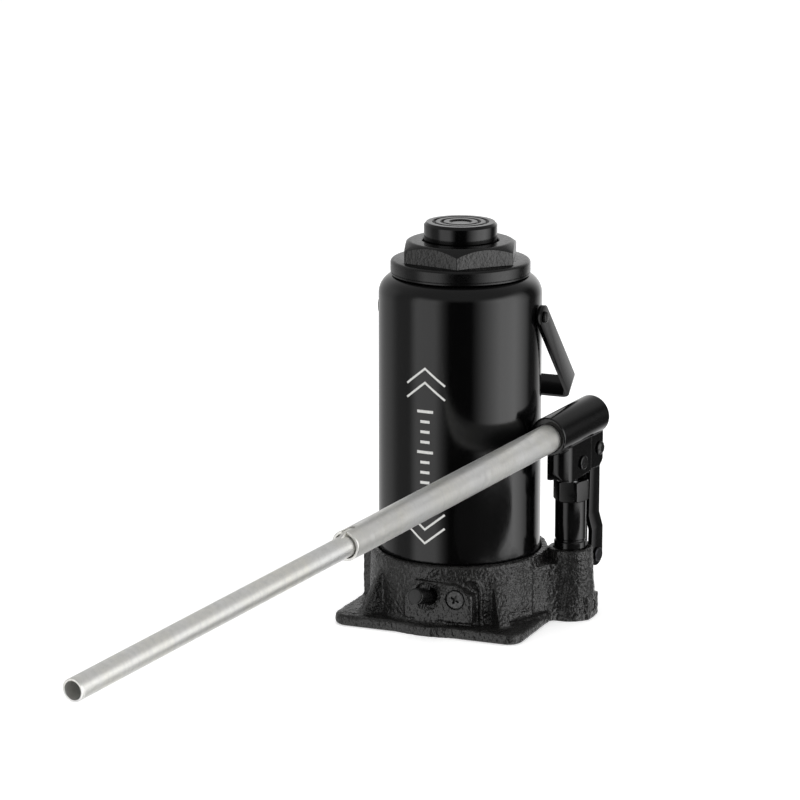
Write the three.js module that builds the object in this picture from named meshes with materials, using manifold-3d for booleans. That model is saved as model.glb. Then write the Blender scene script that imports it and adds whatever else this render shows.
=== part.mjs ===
// Hydraulic bottle jack with a two-piece pump handle.
// Millimetres, +Z up. The origin is the middle of the base's underside, on the ram's axis.
// -Y is the front with the release valve, and +X is the side of the pump.
import * as THREE from "three";
import { mergeVertices } from "three/addons/utils/BufferGeometryUtils.js";
import Module from "manifold-3d";

const wasm = await Module();
wasm.setup();

// ---------------------------------------------------------------- driving dimensions

const GAP = 0.3; // clearance between neighbouring pieces
const FINE = 44; // segments of the large round pieces
const ROUND = 28; // segments of the middle-sized round pieces
const SMALL = 16; // segments of pins, bores and seals
const FULL_TURN = 2 * Math.PI;

const CLOSED_HEIGHT = 242;
const PLATE = { width: 120.6, depth: 116.4, thickness: 7, corner: 9 };
const CUP = { radius: 54, top: 42.5, floor: 30, bore: 49.6, wellRadius: 27.4, wellFloor: 13 };
const TANK = { radius: 49.1, wall: 2.2, bottom: 31.2, top: 210.8, shoulder: 12, mouth: 28.4 };
const CYLINDER = { outer: 27, inner: 21.5, bottom: 15, top: 222 };
const NUT = {
  flange: 42, underside: 211.8, lip: 210.7, flangeTop: 219.3, corner: 37.5, turn: (-72 * Math.PI) / 180,
  top: 231, recess: 23,
};
const RAM = { radius: 19, piston: 21.1, bottom: 24.2, top: 229, bore: 13.6, boreFloor: 66 };
const SCREW = { radius: 13.2, bottom: 70, spigot: 8 };
const SADDLE = { radius: 22, bottom: 229.4, skirt: 230.2 };

const PUMP = { x: 65.8, y: 16.6, turn: (10.4 * Math.PI) / 180 };
const BOSS = { foot: 15.4, top: 13.5, height: 43.8, bore: 10.2, floor: 20 };
const PUMP_BODY = { collar: 9.9, radius: 9.5, bore: 6.6, collarTop: 48.2, hexBottom: 73.2, top: 85.7 };
const HEX_CORNER = 10.85;
const PLUNGER = { radius: 6.2, neck: 4.5, shoulder: 83.4, head: 7.5, halfWidth: 5.2 };

// Pins of the linkage: distance ahead of the pump's axis, and height.
const FRONT_PIN = { ahead: 0, up: 97, radius: 3.3 };
const REAR_PIN = { ahead: -22.3, up: 101.3, radius: 3 };
const LOWER_PIN = { ahead: -20.8, up: 34.6, radius: 3.3 };
const PIN_CLEARANCE = 0.3;
const SLOT_PLAY = { along: 1.5, up: 0.55 }; // free play of the front pin in the plunger's head

const FLANK = { front: 8.2, rear: 6.8, wall: 2.2, step: -10.5, noseCentre: 12.2, rearEnd: -27 };
const EAR_HALF = 3.6;
const STRAP = { thickness: 2.8, upper: 1.4, lower: 4, topRadius: 5.6, footRadius: 7 };

const HANDLE = { height: 118.46, slope: (4.11 * Math.PI) / 180, rear: -21, joint: 246, tip: 489.6 };
const SOCKET_TUBE = { outer: 11.9, raised: 0.9, bore: 8.95, rear: -26, front: 28, lip: 7, lipEnd: -22 };
const OUTER_TUBE = { outer: 8.63, inner: 7 };
const INNER_TUBE = { outer: 6.3, inner: 5.1, held: 6.65, start: 200 };
const LUG = { start: 238.5, end: 254, width: 2.4, top: 8.3 };

const VALVE_BLOCK = { left: -14, right: 29.5, top: 32.5, face: -55 };
const RELEASE = { x: 1.2, up: 24, tilt: (15 * Math.PI) / 180, stub: 4.8, length: 20 };
const OVERLOAD = { x: 19, up: 23.6, radius: 5.5 };
const FILLER = { azimuth: (112 * Math.PI) / 180, up: 168, hole: 4.3 };

const BAIL = {
  pivotY: 4, pivotZ: 187, angle: (44 * Math.PI) / 180, length: 76.5, width: 14.2,
  thickness: 2.6, outer: 52.5, bend: 6,
};

// ---------------------------------------------------------------- shape helpers

/** Makes a closed solid from a geometry, with its faces turned outwards. */
function toSolid(geometry) {
  const bare = new THREE.BufferGeometry();
  const source = geometry.index ? geometry.toNonIndexed() : geometry;
  bare.setAttribute("position", source.getAttribute("position"));
  const merged = mergeVertices(bare, 1e-4);
  const corners = merged.index.array;
  const triangles = [];
  for (let i = 0; i < corners.length; i += 3) {
    const [a, b, c] = [corners[i], corners[i + 1], corners[i + 2]];
    if (a !== b && b !== c && c !== a) triangles.push(a, b, c);
  }
  const build = (list) => new wasm.Manifold(new wasm.Mesh({
    numProp: 3,
    vertProperties: new Float32Array(merged.attributes.position.array),
    triVerts: new Uint32Array(list),
  }));
  const solid = build(triangles);
  if (solid.volume() >= 0) return solid;
  const turned = [];
  for (let i = 0; i < triangles.length; i += 3) {
    turned.push(triangles[i], triangles[i + 2], triangles[i + 1]);
  }
  return build(turned);
}

/** Joins solids into one. */
function join(...solids) {
  return solids.reduce((sum, solid) => sum.add(solid));
}

/** Cuts every later solid from the first one. */
function cut(body, ...tools) {
  return tools.reduce((rest, tool) => rest.subtract(tool), body);
}

/** Makes a round solid about Z from a profile of [radius, z] points. */
function turned(profile, segments = ROUND, matrix = null) {
  const points = profile.map(([radius, z]) => new THREE.Vector2(radius, z));
  const geometry = new THREE.LatheGeometry(points, segments);
  geometry.rotateX(Math.PI / 2);
  if (matrix) geometry.applyMatrix4(matrix);
  return toSolid(geometry);
}

/** Makes a plain round bar about Z. */
function bar(radius, from, to, segments = SMALL, matrix = null) {
  return turned([[0, from], [radius, from], [radius, to], [0, to]], segments, matrix);
}

/** Makes a plain ring about Z. */
function ring(inner, outer, from, to, segments = ROUND, matrix = null) {
  const profile = [[inner, from], [outer, from], [outer, to], [inner, to], [inner, from]];
  return turned(profile, segments, matrix);
}

/** Makes a prism from an outline in the XY plane. */
function upright(outline, from, to, matrix = null) {
  const shape = new THREE.Shape(outline.map(([x, y]) => new THREE.Vector2(x, y)));
  const geometry = new THREE.ExtrudeGeometry(shape, { depth: to - from, bevelEnabled: false });
  geometry.translate(0, 0, from);
  if (matrix) geometry.applyMatrix4(matrix);
  return toSolid(geometry);
}

/** Makes a prism across the linkage from an outline of [ahead, up] points. */
function sideways(outline, from, to, matrix = null) {
  const acrossX = new THREE.Matrix4().makeBasis(
    new THREE.Vector3(0, 1, 0), new THREE.Vector3(0, 0, 1), new THREE.Vector3(1, 0, 0));
  if (matrix) acrossX.premultiply(matrix);
  return upright(outline.map(([ahead, up]) => [-ahead, up]), from, to, acrossX);
}

/** Makes a prism towards the front from an outline of [x, z] points. */
function frontal(outline, fromY, toY) {
  const towardsFront = new THREE.Matrix4().makeBasis(
    new THREE.Vector3(1, 0, 0), new THREE.Vector3(0, 0, 1), new THREE.Vector3(0, -1, 0));
  return upright(outline, -fromY, -toY, towardsFront);
}

/** Makes a box from its lowest and highest corners. */
function block(low, high, matrix = null) {
  const size = high.map((value, i) => value - low[i]);
  const geometry = new THREE.BoxGeometry(...size);
  geometry.translate(...low.map((value, i) => value + size[i] / 2));
  if (matrix) geometry.applyMatrix4(matrix);
  return toSolid(geometry);
}

/** Gives the points of an arc. */
function arc(centre, radius, from, to, steps) {
  return Array.from({ length: steps + 1 }, (_, i) => {
    const angle = from + ((to - from) * i) / steps;
    return [centre[0] + radius * Math.cos(angle), centre[1] + radius * Math.sin(angle)];
  });
}

/** Gives the outline of a belt round two circles. */
function belt(a, radiusA, b, radiusB, steps = 10) {
  const heading = Math.atan2(b[1] - a[1], b[0] - a[0]);
  const spread = Math.acos((radiusA - radiusB) / Math.hypot(b[0] - a[0], b[1] - a[1]));
  return [
    ...arc(b, radiusB, heading - spread, heading + spread, steps),
    ...arc(a, radiusA, heading + spread, heading - spread + FULL_TURN, steps),
  ];
}

/** Makes the tool that drills a pin's hole across the linkage. */
function pinHole({ ahead, up, radius }, matrix = null) {
  const circle = arc([ahead, up], radius + PIN_CLEARANCE, 0, FULL_TURN, SMALL).slice(0, SMALL);
  return sideways(circle, -20, 20, matrix);
}

/** Makes a hexagonal prism about Z. */
function hexagon(corner, from, to, firstCorner = 0) {
  const outline = arc([0, 0], corner, firstCorner, firstCorner + FULL_TURN, 6).slice(0, 6);
  return upright(outline, from, to);
}

/** Makes a compression spring about Z. */
function spring(radius, wire, from, to, turns) {
  const stepsPerTurn = 8;
  const points = Array.from({ length: turns * stepsPerTurn + 1 }, (_, i) => {
    const angle = (FULL_TURN * i) / stepsPerTurn;
    const z = from + ((to - from) * i) / (turns * stepsPerTurn);
    return new THREE.Vector3(radius * Math.cos(angle), radius * Math.sin(angle), z);
  });
  const section = new THREE.Shape(arc([0, 0], wire, 0, FULL_TURN, 4).slice(0, 4)
    .map(([x, y]) => new THREE.Vector2(x, y)));
  const path = new THREE.CatmullRomCurve3(points);
  const options = { steps: turns * stepsPerTurn, extrudePath: path, bevelEnabled: false };
  return toSolid(new THREE.ExtrudeGeometry(section, options));
}

/** Makes a steel ball round the origin. */
function ball(radius) {
  return toSolid(new THREE.SphereGeometry(radius, 14, 9));
}

// ---------------------------------------------------------------- frames and materials

const translate = (x, y, z) => new THREE.Matrix4().makeTranslation(x, y, z);
const linkageFrame = translate(PUMP.x, PUMP.y, 0)
  .multiply(new THREE.Matrix4().makeRotationZ(-PUMP.turn));
const handleFrame = translate(0, 0, HANDLE.height)
  .multiply(new THREE.Matrix4().makeRotationX(HANDLE.slope))
  .multiply(new THREE.Matrix4().makeRotationX(Math.PI / 2));
const releaseFrame = translate(RELEASE.x, VALVE_BLOCK.face, RELEASE.up)
  .multiply(new THREE.Matrix4().makeRotationX(Math.PI / 2 - RELEASE.tilt));
const overloadFrame = translate(OVERLOAD.x, VALVE_BLOCK.face, OVERLOAD.up)
  .multiply(new THREE.Matrix4().makeRotationX(Math.PI / 2));
const acrossPin = new THREE.Matrix4().makeRotationY(Math.PI / 2);
const fillerFrame = translate(0, 0, FILLER.up)
  .multiply(new THREE.Matrix4().makeRotationZ(FILLER.azimuth))
  .multiply(acrossPin);

const FINISHES = {
  castBlack: { color: 0x17171a, roughness: 0.55, metalness: 0.2 },
  glossBlack: { color: 0x08080a, roughness: 0.18, metalness: 0.2 },
  zincSteel: { color: 0xbfbfbc, roughness: 0.38, metalness: 0.9 },
  brightSteel: { color: 0x9b9da0, roughness: 0.25, metalness: 1 },
  darkSteel: { color: 0x34353a, roughness: 0.4, metalness: 0.9 },
  copper: { color: 0xa65f3c, roughness: 0.4, metalness: 1 },
  rubber: { color: 0x1b1b1b, roughness: 0.8, metalness: 0 },
};

/** Gives a mesh of a solid with its own material. */
function piece(name, solid, finish) {
  const mesh = solid.getMesh();
  const geometry = new THREE.BufferGeometry();
  const positions = new THREE.BufferAttribute(new Float32Array(mesh.vertProperties), 3);
  geometry.setAttribute("position", positions);
  geometry.setIndex(new THREE.BufferAttribute(new Uint32Array(mesh.triVerts), 1));
  geometry.computeVertexNormals();
  const made = new THREE.Mesh(geometry, new THREE.MeshStandardMaterial(FINISHES[finish]));
  made.name = name;
  return made;
}

/** Gives a group placed by a matrix, holding the given meshes. */
function placed(matrix, ...meshes) {
  const group = new THREE.Group();
  matrix.decompose(group.position, group.quaternion, group.scale);
  group.add(...meshes);
  return group;
}

// ---------------------------------------------------------------- base casting

/** Gives the rounded outline of the base plate. */
function plateOutline() {
  const { width, depth, corner } = PLATE;
  const [x, y] = [width / 2 - corner, depth / 2 - corner];
  const quarter = Math.PI / 2;
  return [
    ...arc([x, y], corner, 0, quarter, 5),
    ...arc([-x, y], corner, quarter, 2 * quarter, 5),
    ...arc([-x, -y], corner, 2 * quarter, 3 * quarter, 5),
    ...arc([x, -y], corner, 3 * quarter, 4 * quarter, 5),
  ];
}

/** Makes a triangular stiffening rib from the cup down to the plate. */
function gusset(azimuth, halfWidth, foot) {
  const outline = [[-40, 2], [-foot, 6.5], [-foot + 1, 8], [-CUP.radius + 1, 33], [-48, 34], [-40, 34]];
  const turn = new THREE.Matrix4().makeRotationZ((azimuth * Math.PI) / 180 + Math.PI / 2);
  return sideways(outline.map(([ahead, up]) => [-ahead, up]), -halfWidth, halfWidth, turn);
}

/** Makes the valve block's outline with its chamfered top corners. */
function valveBlock() {
  const { left, right, top, face } = VALVE_BLOCK;
  const outline = [[left, 2], [right, 2], [right, 26], [19, top], [-6, top], [left, 22.5]];
  return frontal(outline, -40, face);
}

function baseCasting() {
  const { radius, top, floor, bore, wellRadius, wellFloor } = CUP;
  const cup = turned([[0, 0], [radius + 0.6, 0], [radius + 0.6, 7], [radius, top - 1.5],
    [radius - 1.5, top], [0, top]], FINE);
  const webOutline = [[40, -26], [51.5, -15], [58, -3], [66, 3.2], [66, 26], [59, 27], [44, 37], [20, 30]];
  const web = upright(webOutline, 0, 36);
  const boss = turned([[0, 0], [BOSS.foot, 0], [BOSS.foot, 14], [BOSS.top, BOSS.height - 1],
    [BOSS.top - 1, BOSS.height], [0, BOSS.height]], ROUND, linkageFrame);
  const passageEnd = upright([[64, 8], [79.7, 8], [81.2, 10], [81.2, 25], [79.7, 27], [64, 27]], 0, 14.5);
  const lug = upright([[-45, -11], [-58, -10], [-60, -7], [-60, 7], [-58, 10], [-45, 11]], 0, 41.5);
  const ear = join(
    sideways(belt([LOWER_PIN.ahead, LOWER_PIN.up], 7, [-8, 30], 9), -EAR_HALF, EAR_HALF, linkageFrame),
    sideways([[-6, 3], [-13, 3], [-25, 31], [-6, 41]], -EAR_HALF, EAR_HALF, linkageFrame),
  );
  const body = join(
    upright(plateOutline(), 0, PLATE.thickness), cup, web, boss, passageEnd, lug, ear,
    valveBlock(), gusset(-44, 2.8, 68), gusset(-130, 2.8, 68), gusset(44, 2.8, 68), gusset(136, 2.8, 68),
  );
  return cut(
    body,
    bar(bore, floor, top + 1, FINE),
    bar(wellRadius, wellFloor, floor + 1, FINE),
    bar(BOSS.bore, BOSS.floor, BOSS.height + 1, ROUND, linkageFrame),
    bar(2.6, 11, BOSS.floor + 1, SMALL, linkageFrame.clone().multiply(translate(-4.5, 0, 0))),
    bar(2.6, 11, BOSS.floor + 1, SMALL, linkageFrame.clone().multiply(translate(4.5, 0, 0))),
    bar(2.2, 20, 90, SMALL, translate(0, PUMP.y, 8).multiply(acrossPin)),
    bar(3.6, 74.9, 90, SMALL, translate(0, PUMP.y, 8).multiply(acrossPin)),
    pinHole(LOWER_PIN, linkageFrame),
    ...releaseBores(),
    ...overloadBores(),
  );
}

/** Gives the tools that bore out the seat of the release valve. */
function releaseBores() {
  return [
    bar(8.6, -3, 10, ROUND, releaseFrame),
    bar(5.4, -14, 0, SMALL, releaseFrame),
    bar(3.2, -23, -13, SMALL, releaseFrame),
    bar(1.4, -40, -22, SMALL, releaseFrame),
  ];
}

/** Gives the tools that bore out the seat of the overload valve. */
function overloadBores() {
  return [
    bar(6.3, -1, 5, SMALL, overloadFrame),
    bar(5.8, -11, 0, SMALL, overloadFrame),
    bar(3.6, -20.6, -10, SMALL, overloadFrame),
    bar(1.4, -36, -20, SMALL, overloadFrame),
  ];
}

// ---------------------------------------------------------------- tank, cylinder and top nut

function reservoirTank() {
  const { radius, wall, bottom, top, shoulder, mouth } = TANK;
  const quarter = Math.PI / 2;
  const outerCorner = arc([radius - shoulder, top - shoulder], shoulder, 0, quarter, 6);
  const innerCorner = arc([radius - shoulder, top - shoulder], shoulder - wall, quarter, 0, 5);
  const shell = turned([[radius - wall, bottom], [radius, bottom], ...outerCorner, [mouth, top],
    [mouth, top - wall], ...innerCorner, [radius - wall, bottom]], FINE);
  return cut(shell, bar(FILLER.hole, 0, 60, SMALL, fillerFrame));
}

function fillerPlug() {
  return turned([[0, 44], [4.6, 44], [3.9, 46.2], [3.9, 49.5], [6, 49.5], [6, 51.4], [5, 52.4], [0, 52.4]],
    SMALL, fillerFrame);
}

function topNut() {
  const { flange, underside, lip, flangeTop, corner, turn, top, recess } = NUT;
  const chamferCone = turned([[0, flangeTop - 1], [corner + 1, flangeTop - 1], [corner + 1, top - 5.3],
    [corner - 6.5, top], [0, top]], FINE);
  const hex = hexagon(corner, flangeTop - 0.5, top + 1, turn).intersect(chamferCone);
  const rim = turned([[0, underside], [flange - 1.1, underside], [flange - 1.1, lip], [flange - 0.4, lip],
    [flange, lip + 0.4],
    [flange, flangeTop - 2], [flange - 2, flangeTop], [0, flangeTop]], FINE);
  return cut(
    join(rim, hex),
    bar(CYLINDER.outer + GAP, underside - 1, CYLINDER.top + GAP, FINE),
    bar(RAM.radius + GAP, underside, top + 1, ROUND),
    bar(recess, 226, top + 1, FINE),
  );
}

// ---------------------------------------------------------------- ram, screw and saddle

function ramBody() {
  const { radius, piston, bottom, top, bore, boreFloor } = RAM;
  return turned([[0, 18.6], [14, 18.6], [14, bottom], [piston, bottom], [piston, 34], [radius, 36],
    [radius, top - 1], [radius - 1, top], [bore, top], [bore, boreFloor], [0, boreFloor]], ROUND);
}

/** Makes the dished plate that holds the packing on the ram's tail. */
function packingRetainer() {
  return turned([[0, 15.6], [18, 15.6], [19.5, 16.6], [19.5, 18.3], [0, 18.3]]);
}

function saddleCap() {
  const { radius, bottom, skirt } = SADDLE;
  const top = CLOSED_HEIGHT;
  const grooves = [16.2, 11.4].flatMap((r) => [[r + 0.9, top], [r, top - 1], [r - 0.9, top]]);
  return turned([[SCREW.spigot + GAP, bottom], [17.5, bottom], [17.5, skirt], [radius, skirt],
    [radius, top - 1.6], [radius - 1.6, top], ...grooves, [6.9, top], [5.9, top - 0.7], [0, top - 0.7],
    [0, 238.4], [SCREW.spigot + GAP, 238.4], [SCREW.spigot + GAP, bottom]], ROUND);
}

function extensionScrew() {
  const { radius, bottom, spigot } = SCREW;
  return turned([[0, bottom], [radius - 2, bottom], [radius, bottom + 2], [radius, RAM.top - 1.5],
    [radius - 1.5, RAM.top], [spigot, RAM.top], [spigot, 238], [0, 238]], ROUND);
}

// ---------------------------------------------------------------- pump and linkage

function pumpCylinder() {
  const { collar, radius, bore, collarTop, hexBottom, top } = PUMP_BODY;
  const lathe = turned([[0, 22.2], [collar, 22.2], [collar, collarTop], [radius - 0.5, collarTop + 0.2],
    [radius, collarTop + 0.7], [radius, hexBottom + 1], [0, hexBottom + 1]], ROUND);
  const trim = turned([[0, hexBottom], [HEX_CORNER - 0.6, hexBottom], [HEX_CORNER, hexBottom + 0.8],
    [HEX_CORNER, top - 0.8], [HEX_CORNER - 0.8, top], [0, top]], ROUND);
  const hex = hexagon(HEX_CORNER, hexBottom, top, 0.35).intersect(trim);
  return cut(join(lathe, hex), bar(bore, 20, top + 1, SMALL), bar(8.2, 79.7, 83.3, SMALL));
}

function pumpPlunger() {
  const centre = [FRONT_PIN.ahead, FRONT_PIN.up];
  const { radius, neck, shoulder, head, halfWidth } = PLUNGER;
  const shaft = turned([[0, 23], [3.4, 23], [3.4, 26.4], [radius, 26.4], [radius, shoulder],
    [neck, shoulder], [neck, 92], [0, 92]], SMALL);
  const eye = sideways([...arc(centre, head, 0, Math.PI, 12), [-neck, 91], [neck, 91]],
    -halfWidth, halfWidth);
  const halfLength = FRONT_PIN.radius + SLOT_PLAY.along;
  const halfHeight = FRONT_PIN.radius + SLOT_PLAY.up;
  const reach = halfLength - halfHeight;
  const slot = belt([centre[0] - reach, centre[1]], halfHeight, [centre[0] + reach, centre[1]], halfHeight);
  return cut(join(shaft, eye), sideways(slot, -20, 20));
}

/** Makes one of the socket's headed pins, across the linkage. */
function headedPin(pin, inside, headRadius, headHeight) {
  const { radius } = pin;
  const dome = headHeight * 0.45;
  const end = inside + GAP;
  const half = [[headRadius, end], [headRadius, end + headHeight - dome],
    [headRadius - dome * 1.6, end + headHeight]];
  const profile = [
    [0, -end - headHeight], ...half.map(([r, z]) => [r, -z]).reverse(), [radius, -end],
    [radius, end], ...half, [0, end + headHeight],
  ];
  return turned(profile, SMALL, translate(0, -pin.ahead, pin.up).multiply(acrossPin));
}

/** Gives the inside width of the socket's front part as a U in plan. */
function noseOutline(halfWidth, rearEnd) {
  const tipY = -FLANK.noseCentre;
  return [...arc([0, tipY], halfWidth, -Math.PI, 0, 12), [halfWidth, -rearEnd], [-halfWidth, -rearEnd]];
}

function handleSocket() {
  const { front, rear, wall, step, rearEnd } = FLANK;
  const roof = HANDLE.height;
  const sideOutline = [[rearEnd, 93.6], [-23.4, 89.8], [-10, 89.8], [13.5, 86.8], [18.2, 88],
    [20.2, 92], [21.6, roof], [rearEnd, roof]];
  const skirts = join(
    upright(noseOutline(front, step), 80, roof),
    block([-rear, -step - 1, 80], [rear, -rearEnd, roof]),
  ).intersect(sideways(sideOutline, -20, 20));
  const hollow = join(
    upright(noseOutline(front - wall, step + 2), 80, roof + 1),
    block([wall - rear, -step - 3, 80], [rear - wall, 40, roof + 1]),
  );
  const { outer, raised, bore, rear: tubeRear, front: tubeFront, lip, lipEnd } = SOCKET_TUBE;
  const tube = turned([[0, tubeRear], [outer - 0.8, tubeRear], [outer, tubeRear + 0.8],
    [outer, tubeFront - 0.5], [outer - 0.5, tubeFront], [0, tubeFront]], ROUND,
    handleFrame.clone().multiply(translate(0, raised, 0)));
  return cut(
    join(cut(skirts, hollow), tube),
    bar(bore, lipEnd, 40, ROUND, handleFrame),
    bar(lip, -40, 40, SMALL, handleFrame),
    pinHole(FRONT_PIN),
    pinHole(REAR_PIN),
  );
}

/** Makes a strap of the link; side is 1 for the outer strap and -1 for the one by the tank. */
function linkStrap(side) {
  const { thickness, upper, lower, topRadius, footRadius } = STRAP;
  const profile = [[upper, 120], [upper, 59], [lower, 51], [lower, 20], [lower + thickness, 20],
    [lower + thickness, 51.8], [upper + thickness, 59.8], [upper + thickness, 120]];
  const bentSheet = frontal(profile.map(([x, z]) => [side * x, z]), 60, -20);
  const outline = belt([LOWER_PIN.ahead, LOWER_PIN.up], footRadius, [REAR_PIN.ahead, REAR_PIN.up], topRadius);
  return cut(bentSheet.intersect(sideways(outline, -20, 20)), pinHole(LOWER_PIN), pinHole(REAR_PIN));
}

// ---------------------------------------------------------------- two-piece handle

function outerTube() {
  const { outer, inner } = OUTER_TUBE;
  const { rear, joint } = HANDLE;
  const tube = turned([[inner, rear], [outer - 0.4, rear], [outer, rear + 0.4], [outer, joint - 0.3],
    [outer - 0.3, joint], [inner, joint], [inner, rear]], ROUND);
  const slotHalf = LUG.width / 2 + GAP + 0.1;
  return cut(tube, block([-slotHalf, 4, LUG.start - 1], [slotHalf, 12, joint + 1]));
}

function innerTube() {
  const { outer, inner, held, start } = INNER_TUBE;
  const { joint, tip } = HANDLE;
  const tube = turned([[inner, start], [held - 0.4, start], [held, start + 0.4], [held, joint - 8],
    [outer, joint - 4], [outer, tip - 0.3], [outer - 0.3, tip], [inner, tip], [inner, start]], ROUND);
  const lugOutline = [[LUG.start, inner + 0.4], [LUG.start, LUG.top - 0.4], [LUG.start + 0.6, LUG.top],
    [LUG.end - 5, LUG.top], [LUG.end, inner + 0.4]];
  const alongTube = new THREE.Matrix4().makeBasis(
    new THREE.Vector3(0, 0, 1), new THREE.Vector3(0, 1, 0), new THREE.Vector3(-1, 0, 0));
  return join(tube, upright(lugOutline, -LUG.width / 2, LUG.width / 2, alongTube));
}

// ---------------------------------------------------------------- release and overload valves

function releaseSpindle() {
  const { stub, length } = RELEASE;
  const body = turned([[0, -17.4], [1.6, -17.4], [2.6, -16], [2.6, -12.6], [5, -12.6], [5, -6.4],
    [3.8, -6.2], [3.8, -3.8], [5, -3.6], [5, -0.4], [stub, 0], [stub, length - 1], [stub - 1, length],
    [0, length]], ROUND);
  return cut(body, bar(1.9, -10, 10, SMALL, crossPinFrame));
}

const CROSS_PIN = { along: 2.6, half: 8, radius: 1.6 };
const crossPinFrame = translate(0, 0, CROSS_PIN.along)
  .multiply(new THREE.Matrix4().makeRotationZ((78 * Math.PI) / 180))
  .multiply(acrossPin);

function overloadPlug() {
  const body = turned([[0, -10.4], [OVERLOAD.radius - 0.8, -10.4], [OVERLOAD.radius, -9.6],
    [OVERLOAD.radius, -0.6], [OVERLOAD.radius - 0.6, 0], [0, 0]], SMALL);
  const turn = new THREE.Matrix4().makeRotationZ((-27 * Math.PI) / 180);
  const slots = [[2.9, 0.75], [0.75, 2.9]].map(([x, y]) => block([-x, -y, -2.2], [x, y, 1], turn));
  return cut(body, ...slots);
}

// ---------------------------------------------------------------- carrying bail

function carryBail() {
  const { length, width, thickness, outer, bend } = BAIL;
  const corner = outer - bend;
  const low = -length + bend;
  const inner = outer - thickness;
  const topEnd = width / 2;
  const quarter = Math.PI / 2;
  const outline = [
    [outer, topEnd], [inner, topEnd],
    ...arc([corner, low], bend - thickness, 0, -quarter, 4),
    ...arc([-corner, low], bend - thickness, -quarter, -2 * quarter, 4),
    [-inner, topEnd], [-outer, topEnd],
    ...arc([-corner, low], bend, -2 * quarter, -quarter, 5),
    ...arc([corner, low], bend, -quarter, 0, 5),
  ];
  const strap = frontal(outline, width / 2, -width / 2);
  const rounding = sideways(belt([0, 0], width / 2, [0, -length * 2], width / 2), -80, 80);
  return cut(strap.intersect(rounding), bar(2.7, -80, 80, SMALL, acrossPin));
}

/** Makes the shoulder stud that a bail arm turns on. */
function bailStud(side) {
  const { outer } = BAIL;
  const profile = [[0, 49.3], [2.4, 49.3], [2.4, outer + GAP], [3.5, outer + GAP], [3.5, outer + 1],
    [2.4, outer + 1.8], [0, outer + 1.8]];
  const facing = new THREE.Matrix4().makeRotationY((side * Math.PI) / 2);
  return turned(profile, SMALL, facing);
}

// ---------------------------------------------------------------- assembly

const jack = new THREE.Group();

jack.add(
  piece("base_casting", baseCasting(), "castBlack"),
  piece("reservoir_tank", reservoirTank(), "glossBlack"),
  piece("filler_plug", fillerPlug(), "rubber"),
  piece("ram_cylinder", ring(CYLINDER.inner, CYLINDER.outer, CYLINDER.bottom, CYLINDER.top), "brightSteel"),
  piece("cylinder_washer", ring(22, 26.6, CUP.wellFloor + GAP, CYLINDER.bottom - GAP), "copper"),
  piece("tank_bottom_gasket", ring(46, 49.2, CUP.floor + GAP, TANK.bottom - GAP), "rubber"),
  piece("tank_top_gasket", ring(29.5, 40.6, TANK.top + GAP, NUT.underside - GAP), "rubber"),
  piece("top_nut", topNut(), "castBlack"),
  piece("ram_wiper", ring(RAM.radius + GAP, NUT.recess - GAP, 226 + GAP, 229.2), "rubber"),
);

jack.add(
  piece("ram", ramBody(), "brightSteel"),
  piece("ram_packing", ring(14.3, 21.2, 20.6, RAM.bottom - GAP), "rubber"),
  piece("packing_retainer", packingRetainer(), "darkSteel"),
  piece("extension_screw", extensionScrew(), "brightSteel"),
  piece("saddle", saddleCap(), "glossBlack"),
);

const checkValves = ["inlet", "outlet"].map((name, i) => placed(
  translate(i ? 4.5 : -4.5, 0, 0),
  placed(translate(0, 0, 13.4), piece(`${name}_ball`, ball(2), "brightSteel")),
  piece(`${name}_spring`, spring(1.6, 0.3, 16, 19.4, 3), "brightSteel"),
));

jack.add(placed(
  linkageFrame,
  piece("pump_cylinder", pumpCylinder(), "glossBlack"),
  piece("pump_washer", ring(6.6, 9.8, BOSS.floor + GAP, 22.2 - GAP), "copper"),
  piece("gland_seal", ring(PLUNGER.radius + GAP, 7.9, 80, 83, SMALL), "rubber"),
  ...checkValves,
  piece("pump_plunger", pumpPlunger(), "brightSteel"),
  piece("plunger_seal", ring(3.7, 6.3, 23.4, 26.1, SMALL), "rubber"),
  piece("link_strap_outer", linkStrap(1), "glossBlack"),
  piece("link_strap_inner", linkStrap(-1), "glossBlack"),
  piece("link_lower_pin", headedPin(LOWER_PIN, STRAP.lower + STRAP.thickness, 4.4, 1.4), "darkSteel"),
  piece("handle_socket", handleSocket(), "glossBlack"),
  piece("socket_front_pin", headedPin(FRONT_PIN, FLANK.front, 4.2, 1.1), "darkSteel"),
  piece("socket_rear_pin", headedPin(REAR_PIN, FLANK.rear, 4.2, 1.8), "darkSteel"),
  placed(
    handleFrame,
    piece("handle_outer_tube", outerTube(), "zincSteel"),
    piece("handle_inner_tube", innerTube(), "zincSteel"),
  ),
));

jack.add(placed(
  releaseFrame,
  piece("release_spindle", releaseSpindle(), "glossBlack"),
  piece("release_seal", ring(4.1, 5.1, -6, -4, SMALL), "rubber"),
  piece("release_cross_pin", bar(CROSS_PIN.radius, -CROSS_PIN.half, CROSS_PIN.half, 16, crossPinFrame),
    "glossBlack"),
  placed(translate(0, 0, -20.1), piece("release_ball", ball(2.3), "brightSteel")),
));

jack.add(placed(
  overloadFrame,
  piece("overload_plug", overloadPlug(), "darkSteel"),
  piece("overload_spring", spring(2.5, 0.4, -15.4, -11.4, 3), "brightSteel"),
  placed(translate(0, 0, -18.3), piece("overload_ball", ball(2), "brightSteel")),
));

jack.add(
  placed(translate(0, PUMP.y, 8), piece("passage_plug", bar(3.3, 75.4, 80.8, SMALL, acrossPin), "darkSteel")),
  placed(
    translate(0, BAIL.pivotY, BAIL.pivotZ),
    placed(new THREE.Matrix4().makeRotationX(BAIL.angle), piece("carry_bail", carryBail(), "glossBlack")),
    piece("bail_stud_right", bailStud(1), "darkSteel"),
    piece("bail_stud_left", bailStud(-1), "darkSteel"),
  ),
);

export default jack;
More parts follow.
